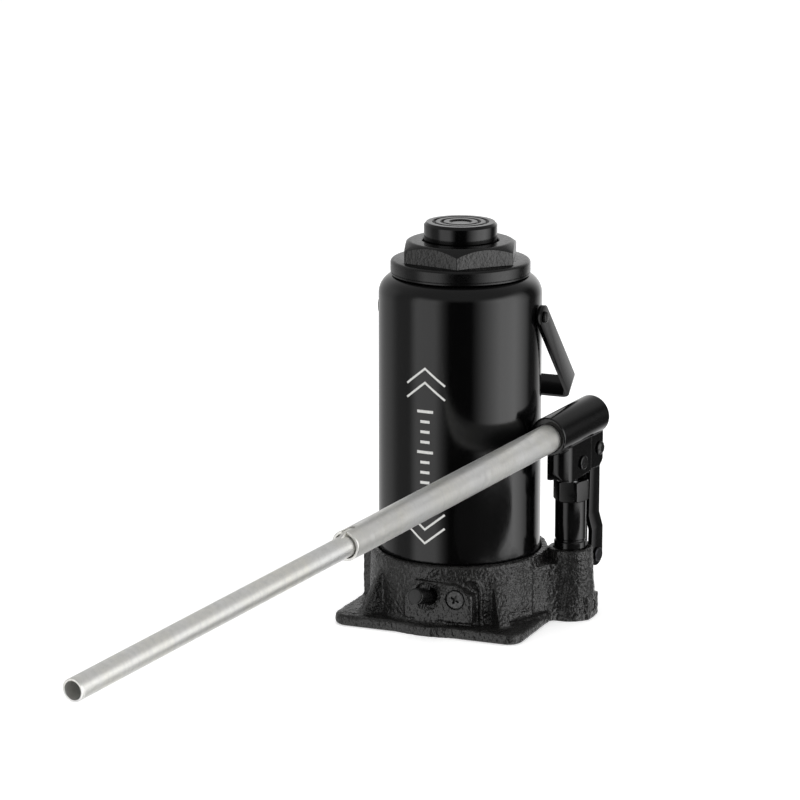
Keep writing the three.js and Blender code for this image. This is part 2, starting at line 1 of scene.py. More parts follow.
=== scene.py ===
"""Builds the finished look of a hydraulic bottle jack around its packed CAD frame."""

import math
from types import SimpleNamespace

import bmesh
import bpy
import numpy as np
from bpy.props import FloatProperty, FloatVectorProperty, IntProperty, PointerProperty
from mathutils import Matrix, Vector, noise


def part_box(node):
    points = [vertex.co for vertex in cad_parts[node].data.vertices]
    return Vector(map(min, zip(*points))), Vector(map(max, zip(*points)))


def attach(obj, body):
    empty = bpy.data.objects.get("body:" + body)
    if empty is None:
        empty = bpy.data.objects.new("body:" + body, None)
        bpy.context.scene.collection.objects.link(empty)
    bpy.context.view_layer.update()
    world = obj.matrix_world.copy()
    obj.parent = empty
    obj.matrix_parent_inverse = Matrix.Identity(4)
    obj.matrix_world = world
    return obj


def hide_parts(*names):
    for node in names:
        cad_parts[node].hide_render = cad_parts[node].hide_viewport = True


bl_info = {
    "name": "Bottle Jack Builder",
    "version": (1, 0, 0),
    "blender": (4, 5, 0),
    "location": "View3D > Sidebar > Bottle Jack",
    "description": "Builds a hydraulic bottle jack with its pump handle, piece by piece",
    "category": "Add Mesh",
}

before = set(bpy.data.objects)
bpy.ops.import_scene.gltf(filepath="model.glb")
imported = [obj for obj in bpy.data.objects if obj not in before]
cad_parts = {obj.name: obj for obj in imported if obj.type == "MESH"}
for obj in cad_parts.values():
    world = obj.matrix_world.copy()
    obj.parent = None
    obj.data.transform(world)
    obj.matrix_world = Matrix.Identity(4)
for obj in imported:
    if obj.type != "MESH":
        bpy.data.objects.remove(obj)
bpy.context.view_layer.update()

MM = 0.001
TURN = 2 * math.pi
QUARTER = math.pi / 2


def cad_box(node):
    """Gives a CAD node's box in metres, with its middle."""
    low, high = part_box(node)
    return SimpleNamespace(low=low, high=high, middle=(low + high) / 2)


BASE_BOX = cad_box("base_casting")
TANK_BOX = cad_box("reservoir_tank")
NUT_BOX = cad_box("top_nut")
RAM_BOX = cad_box("ram")
SADDLE_BOX = cad_box("saddle")
CYLINDER_BOX = cad_box("ram_cylinder")
PUMP_BOX = cad_box("pump_cylinder")


# ------------------------------------------------------------------ settings


def length(name, description, default):
    """Makes a length setting in metres."""
    return FloatProperty(name=name, description=description, default=default, min=0.0,
                         precision=5, subtype="DISTANCE", unit="LENGTH")


def turn(name, description, degrees):
    """Makes an angle setting."""
    return FloatProperty(name=name, description=description, default=math.radians(degrees),
                         subtype="ANGLE", unit="ROTATION")


def tint(name, description, default):
    """Makes a colour setting."""
    return FloatVectorProperty(name=name, description=description, default=default, size=3,
                               min=0.0, max=1.0, subtype="COLOR")


def share(name, description, default):
    """Makes a setting from 0 to 1."""
    return FloatProperty(name=name, description=description, default=default, min=0.0, max=1.0,
                         subtype="FACTOR")


class JackBaseSettings(bpy.types.PropertyGroup):
    """Sizes of the base casting."""

    plate_width: length("Plate width", "Side to side", 0.1206)
    plate_depth: length("Plate depth", "Front to back", 0.1164)
    plate_thickness: length("Plate thickness", "Height of the plate's flat top", 0.007)
    plate_corner: length("Plate corner", "Radius of the plate's corners", 0.009)
    cup_radius: length("Cup radius", "Outside of the cup that holds the tank", 0.054)
    cup_top: length("Cup height", "Rim of the cup", 0.0425)
    cup_bore: length("Cup bore", "Inside of the cup", 0.0496)
    cup_floor: length("Cup floor", "Height of the seat under the tank", 0.030)
    boss_radius: length("Boss radius", "Foot of the pump's boss", 0.0154)
    boss_height: length("Boss height", "Rim of the pump's boss", BASE_BOX.high.z)
    grain: length("Casting grain", "Width of the lumps on the sand-cast skin", 0.0021)
    grain_depth: length("Grain depth", "Height of those lumps", 0.00034)
    fineness: length("Mesh fineness", "Edge length of the casting's mesh", 0.0008)


class JackTankSettings(bpy.types.PropertyGroup):
    """Sizes of the tank, the top nut and the lifting parts."""

    radius: length("Tank radius", "Outside of the oil tank", TANK_BOX.high.x)
    bottom: length("Tank foot", "Lower edge of the tank", TANK_BOX.low.z)
    top: length("Tank top", "Upper face of the tank", TANK_BOX.high.z)
    wall: length("Tank wall", "Sheet thickness", 0.0022)
    shoulder: length("Shoulder", "Radius of the drawn shoulder", 0.012)
    mouth: length("Mouth", "Radius of the hole under the top nut", 0.0284)
    flange_radius: length("Nut flange", "Radius of the top nut's flange", NUT_BOX.high.x)
    underside: length("Nut underside", "Seat of the top nut on its gasket", 0.2118)
    flange_top: length("Flange top", "Height of the flange's upper face", 0.2193)
    hexagon: length("Nut corner", "Radius over the hexagon's corners", 0.0375)
    nut_turn: turn("Nut turn", "Direction of one of the hexagon's corners", -72)
    nut_top: length("Nut top", "Upper face of the top nut", NUT_BOX.high.z)
    ram_radius: length("Ram radius", "Outside of the ram", 0.019)
    saddle_radius: length("Saddle radius", "Outside of the saddle", SADDLE_BOX.high.x)
    saddle_top: length("Saddle top", "Height of the closed jack", SADDLE_BOX.high.z)
    thread_pitch: length("Thread pitch", "Rise of the extension screw in a turn", 0.006)


class JackLinkageSettings(bpy.types.PropertyGroup):
    """Places of the pump, its link and its pins."""

    pump_x: length("Pump x", "Pump axis to the right of the ram", 0.0658)
    pump_y: length("Pump y", "Pump axis behind the ram", 0.0166)
    turn: turn("Linkage turn", "How far the linkage is turned about the pump's axis", 10.4)
    front_pin: length("Front pin", "Height of the pin through the plunger", 0.097)
    rear_pin: length("Rear pin", "Height of the pin through the link", 0.1013)
    rear_pin_back: length("Rear pin back", "Rear pin behind the pump axis", 0.0223)
    lower_pin: length("Lower pin", "Height of the pin in the base's ear", 0.0346)
    lower_pin_back: length("Lower pin back", "Lower pin behind the pump axis", 0.0208)


class JackHandleSettings(bpy.types.PropertyGroup):
    """Sizes of the two-piece handle and its socket."""

    height: length("Axis height", "Handle axis above the pump axis", 0.11846)
    slope: turn("Slope", "How far the handle points down at rest", 4.11)
    socket_radius: length("Socket radius", "Outside of the socket tube", 0.0119)
    socket_rise: length("Socket rise", "Outside of the socket above the handle's axis", 0.0009)
    outer_radius: length("Outer tube", "Outside of the thicker tube", 0.00863)
    inner_radius: length("Inner tube", "Outside of the thinner tube", 0.0063)
    joint: length("Joint", "From the pump axis to the thicker tube's end", 0.246)
    tip: length("Tip", "From the pump axis to the handle's tip", 0.4896)


class JackBailSettings(bpy.types.PropertyGroup):
    """Sizes of the carrying bail."""

    pivot_y: length("Pivot y", "Pivot behind the ram axis", 0.004)
    pivot_z: length("Pivot z", "Height of the pivot", 0.187)
    angle: turn("Angle", "Swing behind the tank at rest", 44.0)
    length: length("Length", "Pivot to the crossbar's outer face", 0.0765)
    width: length("Width", "Width of the strap", 0.0142)
    thickness: length("Thickness", "Thickness of the strap", 0.0026)
    reach: length("Reach", "Outer half width", 0.0525)
    bend: length("Bend", "Outer radius of the bends", 0.006)


class JackFinishSettings(bpy.types.PropertyGroup):
    """Colours and gloss of the finishes."""

    paint: tint("Gloss paint", "Black enamel on tank, linkage and bail", (0.0012, 0.0012, 0.0013))
    paint_gloss: share("Paint roughness", "Roughness of the gloss paint", 0.13)
    cast: tint("Cast paint", "Black enamel over the sand casting", (0.0080, 0.0078, 0.0076))
    cast_gloss: share("Cast roughness", "Roughness of the paint on the casting", 0.25)
    zinc: tint("Zinc", "Zinc plating of the handle", (0.88, 0.88, 0.865))
    zinc_gloss: share("Zinc roughness", "Roughness of the zinc plating", 0.42)
    steel: tint("Ground steel", "Ram, plunger and screw", (0.52, 0.53, 0.54))
    black_steel: tint("Blackened steel", "Pins, rivets and plugs", (0.035, 0.035, 0.038))
    phosphate: tint("Phosphated steel", "Overload plug", (0.11, 0.11, 0.11))
    copper: tint("Copper", "Sealing washers", (0.62, 0.30, 0.18))
    rubber: tint("Rubber", "Seals and the filler plug", (0.012, 0.012, 0.012))
    print_white: tint("Printed marks", "Marks printed on the tank", (0.72, 0.72, 0.70))


class JackStageSettings(bpy.types.PropertyGroup):
    """The camera and the studio."""

    camera_place: FloatVectorProperty(
        name="Camera", description="Place of the camera", size=3, subtype="TRANSLATION",
        unit="LENGTH", default=(0.7963, -2.0092, 0.6435))
    camera_yaw: turn("Camera yaw", "How far the camera looks to the left of +Y", 22.58)
    camera_pitch: turn("Camera pitch", "How far the camera looks down", 13.31)
    lens: FloatProperty(name="Lens", description="Focal length", default=165.4, min=1.0,
                        subtype="DISTANCE_CAMERA", unit="CAMERA")
    floor_radius: length("Floor radius", "Radius of the pale floor", 9.0)
    floor: tint("Floor", "Colour of the floor", (0.86, 0.86, 0.86))
    surround: FloatProperty(name="Surround", description="Strength of the studio's light",
                            default=1.5, min=0.0)
    segments: IntProperty(name="Segments", description="Segments of the largest rounds",
                          default=160, min=16)


def in_millimetres(group):
    """Gives a group's lengths in millimetres, the unit of every outline, and its other values."""
    values = {}
    for name, setting in group.bl_rna.properties.items():
        if name in group.__annotations__:
            value = getattr(group, name)
            values[name] = value / MM if setting.unit == "LENGTH" and setting.type == "FLOAT" else value
    return SimpleNamespace(**values)


# ------------------------------------------------------------------ outlines


def arc(centre, radius, start, end, steps):
    """Gives the points of an arc, ends included."""
    angles = [start + (end - start) * i / steps for i in range(steps + 1)]
    return [(centre[0] + radius * math.cos(a), centre[1] + radius * math.sin(a)) for a in angles]


def rounded(corners, steps=5):
    """Gives the points of an outline of (u, v) or (u, v, radius) corners, rounded by their radius."""
    points = []
    for i, corner in enumerate(corners):
        here = Vector(corner[:2])
        if len(corner) < 3:
            points.append(tuple(here))
            continue
        before = (Vector(corners[i - 1][:2]) - here).normalized()
        after = (Vector(corners[(i + 1) % len(corners)][:2]) - here).normalized()
        half = before.angle(after) / 2
        centre = here + (before + after).normalized() * corner[2] / math.sin(half)
        first = here + before * corner[2] / math.tan(half) - centre
        last = here + after * corner[2] / math.tan(half) - centre
        start = math.atan2(first.y, first.x)
        sweep = (math.atan2(last.y, last.x) - start + math.pi) % TURN - math.pi
        points += arc(centre, corner[2], start, start + sweep, steps)
    return points


def belt(a, radius_a, b, radius_b, steps=14):
    """Gives the outline of a belt round two circles."""
    reach = Vector(b) - Vector(a)
    heading = math.atan2(reach.y, reach.x)
    spread = math.acos((radius_a - radius_b) / reach.length)
    return (arc(b, radius_b, heading - spread, heading + spread, steps)
            + arc(a, radius_a, heading + spread, heading - spread + TURN, steps))


def polygon(radius, sides, first=0.0):
    """Gives a regular polygon's corners."""
    return arc((0, 0), radius, first, first + TURN, sides)[:sides]


# ------------------------------------------------------------------ meshes

UPRIGHT = Matrix.Identity(4)
SIDEWAYS = Matrix(((0, 0, 1, 0), (-1, 0, 0, 0), (0, 1, 0, 0), (0, 0, 0, 1)))
FRONTAL = Matrix(((1, 0, 0, 0), (0, 0, -1, 0), (0, 1, 0, 0), (0, 0, 0, 1)))


def tidy_mesh(bm, name, place):
    """Turns a bmesh in millimetres into an object in metres, placed by a matrix."""
    bmesh.ops.remove_doubles(bm, verts=bm.verts, dist=1e-4)
    bmesh.ops.recalc_face_normals(bm, faces=bm.faces)
    bm.transform(Matrix.Scale(MM, 4) @ place)
    if (Matrix.Identity(3) @ place.to_3x3()).determinant() < 0:
        bmesh.ops.reverse_faces(bm, faces=bm.faces)
    mesh = bpy.data.meshes.new(name)
    bm.to_mesh(mesh)
    bm.free()
    made = bpy.data.objects.new(name, mesh)
    bpy.context.scene.collection.objects.link(made)
    return made


def lathe(name, profile, segments=64, place=UPRIGHT):
    """Turns a profile of (radius, height) points about Z. It ends on the axis or closes on itself."""
    bm = bmesh.new()
    rings = []
    for radius, height in profile:
        if radius < 1e-6:
            rings.append([bm.verts.new((0, 0, height))])
        else:
            rings.append([bm.verts.new((radius * math.cos(TURN * i / segments),
                                        radius * math.sin(TURN * i / segments), height))
                          for i in range(segments)])
    on_axis = len(rings[0]) == 1
    pairs = list(zip(rings, rings[1:] if on_axis else rings[1:] + rings[:1]))
    for lower, upper in pairs:
        for i in range(segments):
            j = (i + 1) % segments
            corners = [lower[i % len(lower)], lower[j % len(lower)],
                       upper[j % len(upper)], upper[i % len(upper)]]
            unique = list(dict.fromkeys(corners))
            if len(unique) > 2:
                bm.faces.new(unique)
    return tidy_mesh(bm, name, place)


def prism(name, outline, low, high, plane=UPRIGHT, place=UPRIGHT, taper=None):
    """Extrudes an outline from low to high across its plane. taper is (height, lower, upper width)."""
    bm = bmesh.new()
    bottom = [bm.verts.new((u, v, low)) for u, v in outline]
    top = [bm.verts.new((u, v, high)) for u, v in outline]
    bm.faces.new(bottom[::-1])
    bm.faces.new(top)
    for i in range(len(outline)):
        j = (i + 1) % len(outline)
        bm.faces.new((bottom[i], bottom[j], top[j], top[i]))
    if taper:
        height, lower, upper = taper
        for vert in bm.verts:
            vert.co.z *= lower + (upper - lower) * min(1.0, max(0.0, vert.co.y / height))
    return tidy_mesh(bm, name, place @ plane)


def sweep(name, points, radius, sides=10, place=UPRIGHT):
    """Makes a round bar along a path of points."""
    bm = bmesh.new()
    path = [Vector(p) for p in points]
    normal = (path[1] - path[0]).orthogonal().normalized()
    rings = []
    for i, point in enumerate(path):
        ahead = (path[min(i + 1, len(path) - 1)] - path[max(i - 1, 0)]).normalized()
        normal = (normal - ahead * normal.dot(ahead)).normalized()
        side = ahead.cross(normal)
        rings.append([bm.verts.new(point + (normal * math.cos(a) + side * math.sin(a)) * radius)
                      for a in (TURN * k / sides for k in range(sides))])
    for one, two in zip(rings, rings[1:]):
        for k in range(sides):
            m = (k + 1) % sides
            bm.faces.new((one[k], one[m], two[m], two[k]))
    bm.faces.new(rings[0][::-1])
    bm.faces.new(rings[-1])
    return tidy_mesh(bm, name, place)


def settle(obj):
    """Applies an object's modifiers."""
    graph = bpy.context.evaluated_depsgraph_get()
    mesh = bpy.data.meshes.new_from_object(obj.evaluated_get(graph))
    obj.modifiers.clear()
    old, obj.data = obj.data, mesh
    mesh.name = obj.name
    bpy.data.meshes.remove(old)
    return obj


def modified(obj, kind, **values):
    """Adds a modifier with the given values and applies it."""
    modifier = obj.modifiers.new(kind.title(), kind)
    for name, value in values.items():
        setattr(modifier, name, value)
    return settle(obj)


def joined(obj, *others):
    """Puts the meshes of other objects into the first one, still as separate shells."""
    bm = bmesh.new()
    for part in (obj, *others):
        bm.from_mesh(part.data)
    bm.to_mesh(obj.data)
    bm.free()
    for part in others:
        bpy.data.objects.remove(part)
    return obj


def boolean(obj, operation, *tools):
    """Cuts, joins or intersects an object with others, which are used up."""
    for tool in tools:
        modified(obj, "BOOLEAN", operation=operation, solver="EXACT", object=tool)
        bpy.data.objects.remove(tool)
    return obj


def carved(obj, *tools):
    """Cuts the tools out of an object."""
    return boolean(obj, "DIFFERENCE", *tools)


def bevelled(obj, width, steps=2, angle=35.0):
    """Rounds an object's sharp edges by a width in millimetres."""
    return modified(obj, "BEVEL", width=width * MM, segments=steps, limit_method="ANGLE",
                    angle_limit=math.radians(angle), harden_normals=False, use_clamp_overlap=True)


def remeshed(obj, voxel, relax):
    """Grows overlapping shells into one even skin, and softens it."""
    modified(obj, "REMESH", mode="VOXEL", voxel_size=voxel * MM, use_smooth_shade=True)
    return modified(obj, "SMOOTH", factor=0.5, iterations=relax)


def roughened(obj, width, depth, smooth_where):
    """Moves a skin in and out in lumps of a width and depth. smooth_where gives 0 to 1 by place."""
    mesh = obj.data
    places = np.empty(len(mesh.vertices) * 3, np.float32)
    normals = np.empty(len(mesh.vertices) * 3, np.float32)
    mesh.vertices.foreach_get("co", places)
    mesh.vertices.foreach_get("normal", normals)
    places = places.reshape(-1, 3) / MM
    normals = normals.reshape(-1, 3)
    lumps = np.array([noise.noise(Vector(p) / width) + 0.5 * noise.noise(Vector(p) / width / 2.3)
                      for p in places], np.float32)
    swell = np.array([noise.noise(Vector(p) / (width * 7)) for p in places], np.float32)
    amount = (lumps * depth + swell * depth * 0.9) * (1 - smooth_where(places))
    moved = (places + normals * amount[:, None]) * MM
    mesh.vertices.foreach_set("co", moved.astype(np.float32).ravel())
    mesh.update()
    return obj


def dressed(obj, body, finish, slot, *nodes, sharp=32.0):
    """Shades a piece, gives it its finish and body, and lets it stand for its CAD nodes."""
    mesh = obj.data
    mesh.shade_smooth()
    mesh.set_sharp_from_angle(angle=math.radians(sharp))
    if not mesh.materials:
        mesh.materials.append(finish)
    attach(obj, body)
    if nodes:
        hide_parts(*nodes)
    return obj


# ------------------------------------------------------------------ finishes


class Finish:
    """A material whose nodes are added one by one."""

    def __init__(self, name):
        self.material = bpy.data.materials.new(name)
        self.material.use_nodes = True
        self.nodes = self.material.node_tree.nodes
        self.links = self.material.node_tree.links
        self.shader = self.nodes["Principled BSDF"]
        self.coords = self.nodes.new("ShaderNodeTexCoord").outputs["Object"]

    def set(self, **values):
        """Sets numbers and colours on the shader's own sockets."""
        for name, value in values.items():
            self.shader.inputs[name.replace("_", " ").title().replace("Ior", "IOR")].default_value = value

    def node(self, kind, settings=None, **inputs):
        """Adds a node, sets it and links or fills its inputs."""
        made = self.nodes.new(kind)
        for name, value in (settings or {}).items():
            setattr(made, name, value)
        for name, value in inputs.items():
            socket = made.inputs[int(name[1:]) if name[1:].isdigit() else name]
            if isinstance(value, bpy.types.NodeSocket):
                self.links.new(value, socket)
            else:
                socket.default_value = value
        return made

    def stretched(self, scale, rotation=(0, 0, 0)):
        """Gives the object coordinates, turned and scaled."""
        return self.node("ShaderNodeMapping", Vector=self.coords, Rotation=rotation,
                         Scale=scale).outputs["Vector"]

    def noise(self, scale, detail=3.0, vector=None, roughness=0.5):
        """Gives a noise by cells per metre."""
        return self.node("ShaderNodeTexNoise", Vector=vector or self.coords, Scale=scale,
                         Detail=detail, Roughness=roughness).outputs["Fac"]

    def pebbles(self, scale):
        """Gives smooth round lumps by cells per metre."""
        return self.node("ShaderNodeTexVoronoi", {"feature": "SMOOTH_F1"}, Vector=self.coords,
                         Scale=scale, Smoothness=0.6).outputs["Distance"]

    def between(self, fac, low, high, start=0.3, end=0.7):
        """Maps a factor from start-end to low-high."""
        return self.node("ShaderNodeMapRange", {"clamp": True}, Value=fac, _1=start, _2=end,
                         _3=low, _4=high).outputs["Result"]

    def blend(self, fac, first, second):
        """Mixes two colours by a factor."""
        made = self.node("ShaderNodeMix", {"data_type": "RGBA"}, _0=fac)
        for socket, value in ((made.inputs[6], first), (made.inputs[7], second)):
            if isinstance(value, bpy.types.NodeSocket):
                self.links.new(value, socket)
            else:
                socket.default_value = (*value, 1.0)
        return made.outputs[2]

    def bump(self, height, depth, strength=1.0, below=None):
        """Adds a bump of a depth in millimetres over another one."""
        made = self.node("ShaderNodeBump", Height=height, Distance=depth * MM, Strength=strength)
        if below:
            self.links.new(below, made.inputs["Normal"])
        return made.outputs["Normal"]

    def link(self, socket, output):
        """Drives one of the shader's sockets."""
        self.links.new(output, self.shader.inputs[socket])


def scaled(colour, factor):
    """Gives a colour made lighter or darker."""
    return tuple(min(1.0, c * factor) for c in colour)


def gloss_enamel(look, name="gloss_enamel", gloss=1.0):
    """Sprayed black enamel: near black, with a faint orange peel."""
    finish = Finish(name)
    finish.set(specular_ior_level=0.36)
    cloud = finish.noise(38, 2)
    finish.link("Base Color", finish.blend(cloud, scaled(look.paint, 0.75), scaled(look.paint, 1.3)))
    rough = look.paint_gloss * gloss
    finish.link("Roughness", finish.between(finish.noise(420, 4), rough * 0.82, rough * 1.25))
    peel = finish.bump(finish.noise(260, 1.5), 0.02, 0.35)
    finish.link("Normal", finish.bump(finish.noise(1500, 2), 0.006, 0.3, peel))
    return finish.material


def cast_enamel(look, name="cast_enamel", grain=1.0):
    """Black enamel over a sand-cast skin: pebbly, with a soft sheen on every lump."""
    finish = Finish(name)
    finish.set(specular_ior_level=0.42)
    patches = finish.noise(60, 3)
    finish.link("Base Color", finish.blend(patches, scaled(look.cast, 0.7), scaled(look.cast, 1.6)))
    rough = look.cast_gloss
    finish.link("Roughness", finish.between(finish.noise(900, 3), rough * 0.8, rough * 1.35))
    lumps = finish.bump(finish.noise(560, 1.5, roughness=0.45), 0.9 * grain, 0.9)
    finish.link("Normal", finish.bump(finish.pebbles(900), 0.16 * grain, 0.6, lumps))
    return finish.material


def zinc_plate(look, axis_turn):
    """Zinc plating on drawn tube: satin, finely speckled, with faint streaks along the tube."""
    finish = Finish("zinc_plate")
    finish.set(metallic=0.85)
    along = finish.stretched((1.0, 1.0, 0.05), axis_turn)
    streaks = finish.noise(300, 3, along)
    speckle = finish.noise(2600, 2)
    patches = finish.noise(34, 3)
    warm = tuple(c * f for c, f in zip(look.zinc, (1.0, 0.985, 0.93)))
    tone = finish.blend(finish.between(patches, 0.0, 1.0, 0.42, 0.68), look.zinc, warm)
    streaked = finish.blend(finish.between(streaks, 0.0, 0.55, 0.4, 0.72), tone, scaled(look.zinc, 0.80))
    finish.link("Base Color", finish.blend(
        finish.between(speckle, 0.0, 0.5, 0.45, 0.7), streaked, scaled(look.zinc, 0.72)))
    rough = look.zinc_gloss
    finish.link("Roughness", finish.between(streaks, rough * 0.86, rough * 1.2))
    drawn = finish.bump(streaks, 0.025, 0.35)
    finish.link("Normal", finish.bump(speckle, 0.03, 0.45, drawn))
    return finish.material


def worked_steel(name, colour, rough, scale=(1.0, 1.0, 14.0)):
    """Turned or ground steel: fine lines round the axis and a soft grey cloud."""
    finish = Finish(name)
    finish.set(metallic=1.0)
    lines = finish.noise(320, 3, finish.stretched(scale))
    cloud = finish.noise(90, 3)
    finish.link("Base Color", finish.blend(cloud, scaled(colour, 0.8), scaled(colour, 1.15)))
    finish.link("Roughness", finish.between(lines, rough * 0.75, rough * 1.3))
    finish.link("Normal", finish.bump(lines, 0.01, 0.3))
    return finish.material


def rubber_skin(look):
    """Moulded rubber: matt, with a fine dusty grain."""
    finish = Finish("rubber_skin")
    finish.set(specular_ior_level=0.3)
    finish.link("Base Color", finish.blend(finish.noise(300, 3), look.rubber, scaled(look.rubber, 2.2)))
    finish.link("Roughness", finish.between(finish.noise(1200, 2), 0.6, 0.85))
    finish.link("Normal", finish.bump(finish.noise(2400, 2), 0.02, 0.4))
    return finish.material


def screen_print(look):
    """White screen-printed ink: slightly uneven where it is thin."""
    finish = Finish("screen_print")
    finish.set(specular_ior_level=0.4)
    thin = finish.between(finish.noise(1400, 3), 0.0, 1.0, 0.35, 0.75)
    finish.link("Base Color", finish.blend(thin, look.print_white, scaled(look.print_white, 0.82)))
    finish.link("Roughness", finish.between(finish.noise(700, 2), 0.38, 0.55))
    finish.link("Normal", finish.bump(thin, 0.01, 0.3))
    return finish.material


def finishes():
    """Gives the shared finishes, made once."""
    if not hasattr(finishes, "made"):
        look = bpy.context.scene.jack_finish
        finishes.made = SimpleNamespace(
            cast=cast_enamel(look),
            cast_fine=cast_enamel(look, "cast_enamel_fine", 0.55),
            gloss=gloss_enamel(look),
            satin=gloss_enamel(look, "satin_enamel", 1.9),
            zinc=zinc_plate(look, zinc_grain_turn()),
            steel=worked_steel("ground_steel", look.steel, 0.24),
            dark=worked_steel("blackened_steel", look.black_steel, 0.34),
            phosphated=worked_steel("phosphated_steel", look.phosphate, 0.6, (3.0, 3.0, 3.0)),
            copper=worked_steel("copper_washer", look.copper, 0.36, (1.0, 1.0, 1.0)),
            rubber=rubber_skin(look),
            ink=screen_print(look),
        )
    return finishes.made


# ------------------------------------------------------------------ places


def linkage_place():
    """Gives the linkage's own frame: Z up the pump, -Y ahead along the handle."""
    link = in_millimetres(bpy.context.scene.jack_linkage)
    return Matrix.Translation((link.pump_x, link.pump_y, 0)) @ Matrix.Rotation(-link.turn, 4, "Z")


def handle_place():
    """Gives the handle's frame: Z along the tubes towards the tip, Y up."""
    handle = in_millimetres(bpy.context.scene.jack_handle)
    return (linkage_place() @ Matrix.Translation((0, 0, handle.height))
            @ Matrix.Rotation(handle.slope, 4, "X") @ Matrix.Rotation(QUARTER, 4, "X"))


def zinc_grain_turn():
    """Gives the rotation that lays the zinc's streaks along the handle."""
    return handle_place().to_3x3().inverted().to_euler()


ACROSS = Matrix.Rotation(QUARTER, 4, "Y")
VALVE_FACE = -55.0
RELEASE_PLACE = Matrix.Translation((1.2, VALVE_FACE, 24)) @ Matrix.Rotation(math.radians(75), 4, "X")
OVERLOAD_PLACE = Matrix.Translation((19, VALVE_FACE, 23.6)) @ Matrix.Rotation(QUARTER, 4, "X")
PASSAGE_PLACE = Matrix.Translation((0, 16.6, 8)) @ ACROSS
FILLER_PLACE = (Matrix.Translation((0, 0, 168)) @ Matrix.Rotation(math.radians(112), 4, "Z") @ ACROSS)


# ------------------------------------------------------------------ base casting


def gusset(azimuth, foot=68.0):
    """Makes a stiffening rib from the cup down to the plate, wider at its foot."""
    outline = rounded([(40, 1), (foot - 1, 1), (foot, 6.4, 1.0), (54.6, 33.5, 3.0), (48, 34.5), (40, 34.5)])
    place = Matrix.Rotation(math.radians(azimuth) + QUARTER, 4, "Z")
    return prism("gusset", outline, -3.3, 3.3, SIDEWAYS, place, taper=(34, 1.25, 0.7))


def cup_skin(base, plate_top):
    """Makes the cup as a solid block with a fillet round its foot."""
    profile = rounded([(0, 0), (59.5, 0), (59.5, plate_top - 1),
                       (base.cup_radius + 0.6, plate_top - 0.4, 4.5),
                       (base.cup_radius, base.cup_top, 1.6), (0, base.cup_top)])
    return lathe("cup", profile, 128)


def pump_boss(base, place):
    """Makes the boss that the pump screws into."""
    profile = rounded([(0, 0), (base.boss_radius, 0), (base.boss_radius, 14, 6.0),
                       (base.boss_radius - 1.9, base.boss_height, 1.1), (0, base.boss_height)])
    return lathe("boss", profile, 72, place)


def valve_block():
    """Makes the block for the two valves, with its chamfered top and the undercut below it."""
    front = rounded([(-14, 9.4), (29.5, 9.4), (29.5, 26, 1.5), (19, 32.5, 3.0), (-6, 32.5, 3.0),
                     (-14, 22.5, 1.5)])
    block = bevelled(prism("block", front, 40, -VALVE_FACE, FRONTAL), 0.5, 2)
    return joined(block, prism("neck", [(-12, 2), (27.5, 2), (27.5, 20), (-12, 20)], 38, 51.6, FRONTAL))


def ridge(points, radius):
    """Makes a cast ridge along points given as (azimuth in degrees, distance from the axis, height)."""
    route = [(r * math.cos(math.radians(a)), r * math.sin(math.radians(a)), z) for a, r, z in points]
    return sweep("ridge", route, radius, 10)


def cast_ridges():
    """Makes the rib that curves down beside the valve block, and the two mould seams."""
    flowing = [(-62.8, 54.3, 35.4), (-60.5, 54.4, 35.2), (-57.8, 54.6, 33.8), (-55.9, 54.9, 31.0),
               (-55.1, 55.2, 27.0), (-54.9, 55.4, 20.0), (-54.7, 55.8, 12.0), (-54.4, 56.6, 6.0)]
    seam = [(-15.6, 54.3, 38.5), (-15.6, 54.3, 8.0)]
    foot = [(-39, 60.5, 7.3), (-32, 60.6, 7.5), (-24, 60.6, 7.6), (-16, 60.6, 7.6), (-9, 61.0, 7.4)]
    return ridge(flowing, 1.35), ridge(seam, 0.95), ridge(foot, 0.9)


def link_ear(link, place):
    """Makes the ear behind the boss that carries the link's lower pin."""
    pin = (-link.lower_pin_back, link.lower_pin)
    return joined(
        prism("ear", belt(pin, 7, (-8, 30), 9), -3.6, 3.6, SIDEWAYS, place),
        prism("ear_foot", [(-6, 3), (-13, 3), (-25, 31), (-6, 41)], -3.6, 3.6, SIDEWAYS, place),
    )


def base_bores(base, link, place):
    """Makes the tools that machine the casting: cup, pump, link pin and the two valves."""
    cup, cup_top, boss_top = base.cup_bore, base.cup_top, base.boss_height
    plain = [
        lathe("cup_bore", rounded([(0, 13), (27.4, 13), (27.4, base.cup_floor), (cup, base.cup_floor),
                                   (cup, cup_top - 1.1), (cup + 1.3, cup_top + 0.4),
                                   (cup + 1.3, 60), (0, 60)]), 160),
        lathe("pump_bore", [(0, 20), (10.2, 20), (10.2, boss_top - 0.9), (11.2, boss_top + 0.2),
                            (11.2, 60), (0, 60)], 72, place),
        lathe("release_bore", [(0, -14), (5.4, -14), (5.4, -3), (8.6, -3), (8.6, 12), (0, 12)], 64,
              RELEASE_PLACE),
        lathe("overload_bore", [(0, -11), (5.8, -11), (5.8, -1.6), (6.3, -1.6), (6.3, 4), (0, 4)], 48,
              OVERLOAD_PLACE),
        lathe("passage_bore", [(0, 74.9), (3.6, 74.9), (3.6, 90), (0, 90)], 32, PASSAGE_PLACE),
        prism("pin_bore", arc((-link.lower_pin_back, link.lower_pin), 3.6, 0, TURN, 32)[:32], -20, 20,
              SIDEWAYS, place),
    ]
    return joined(plain[0], *plain[1:])


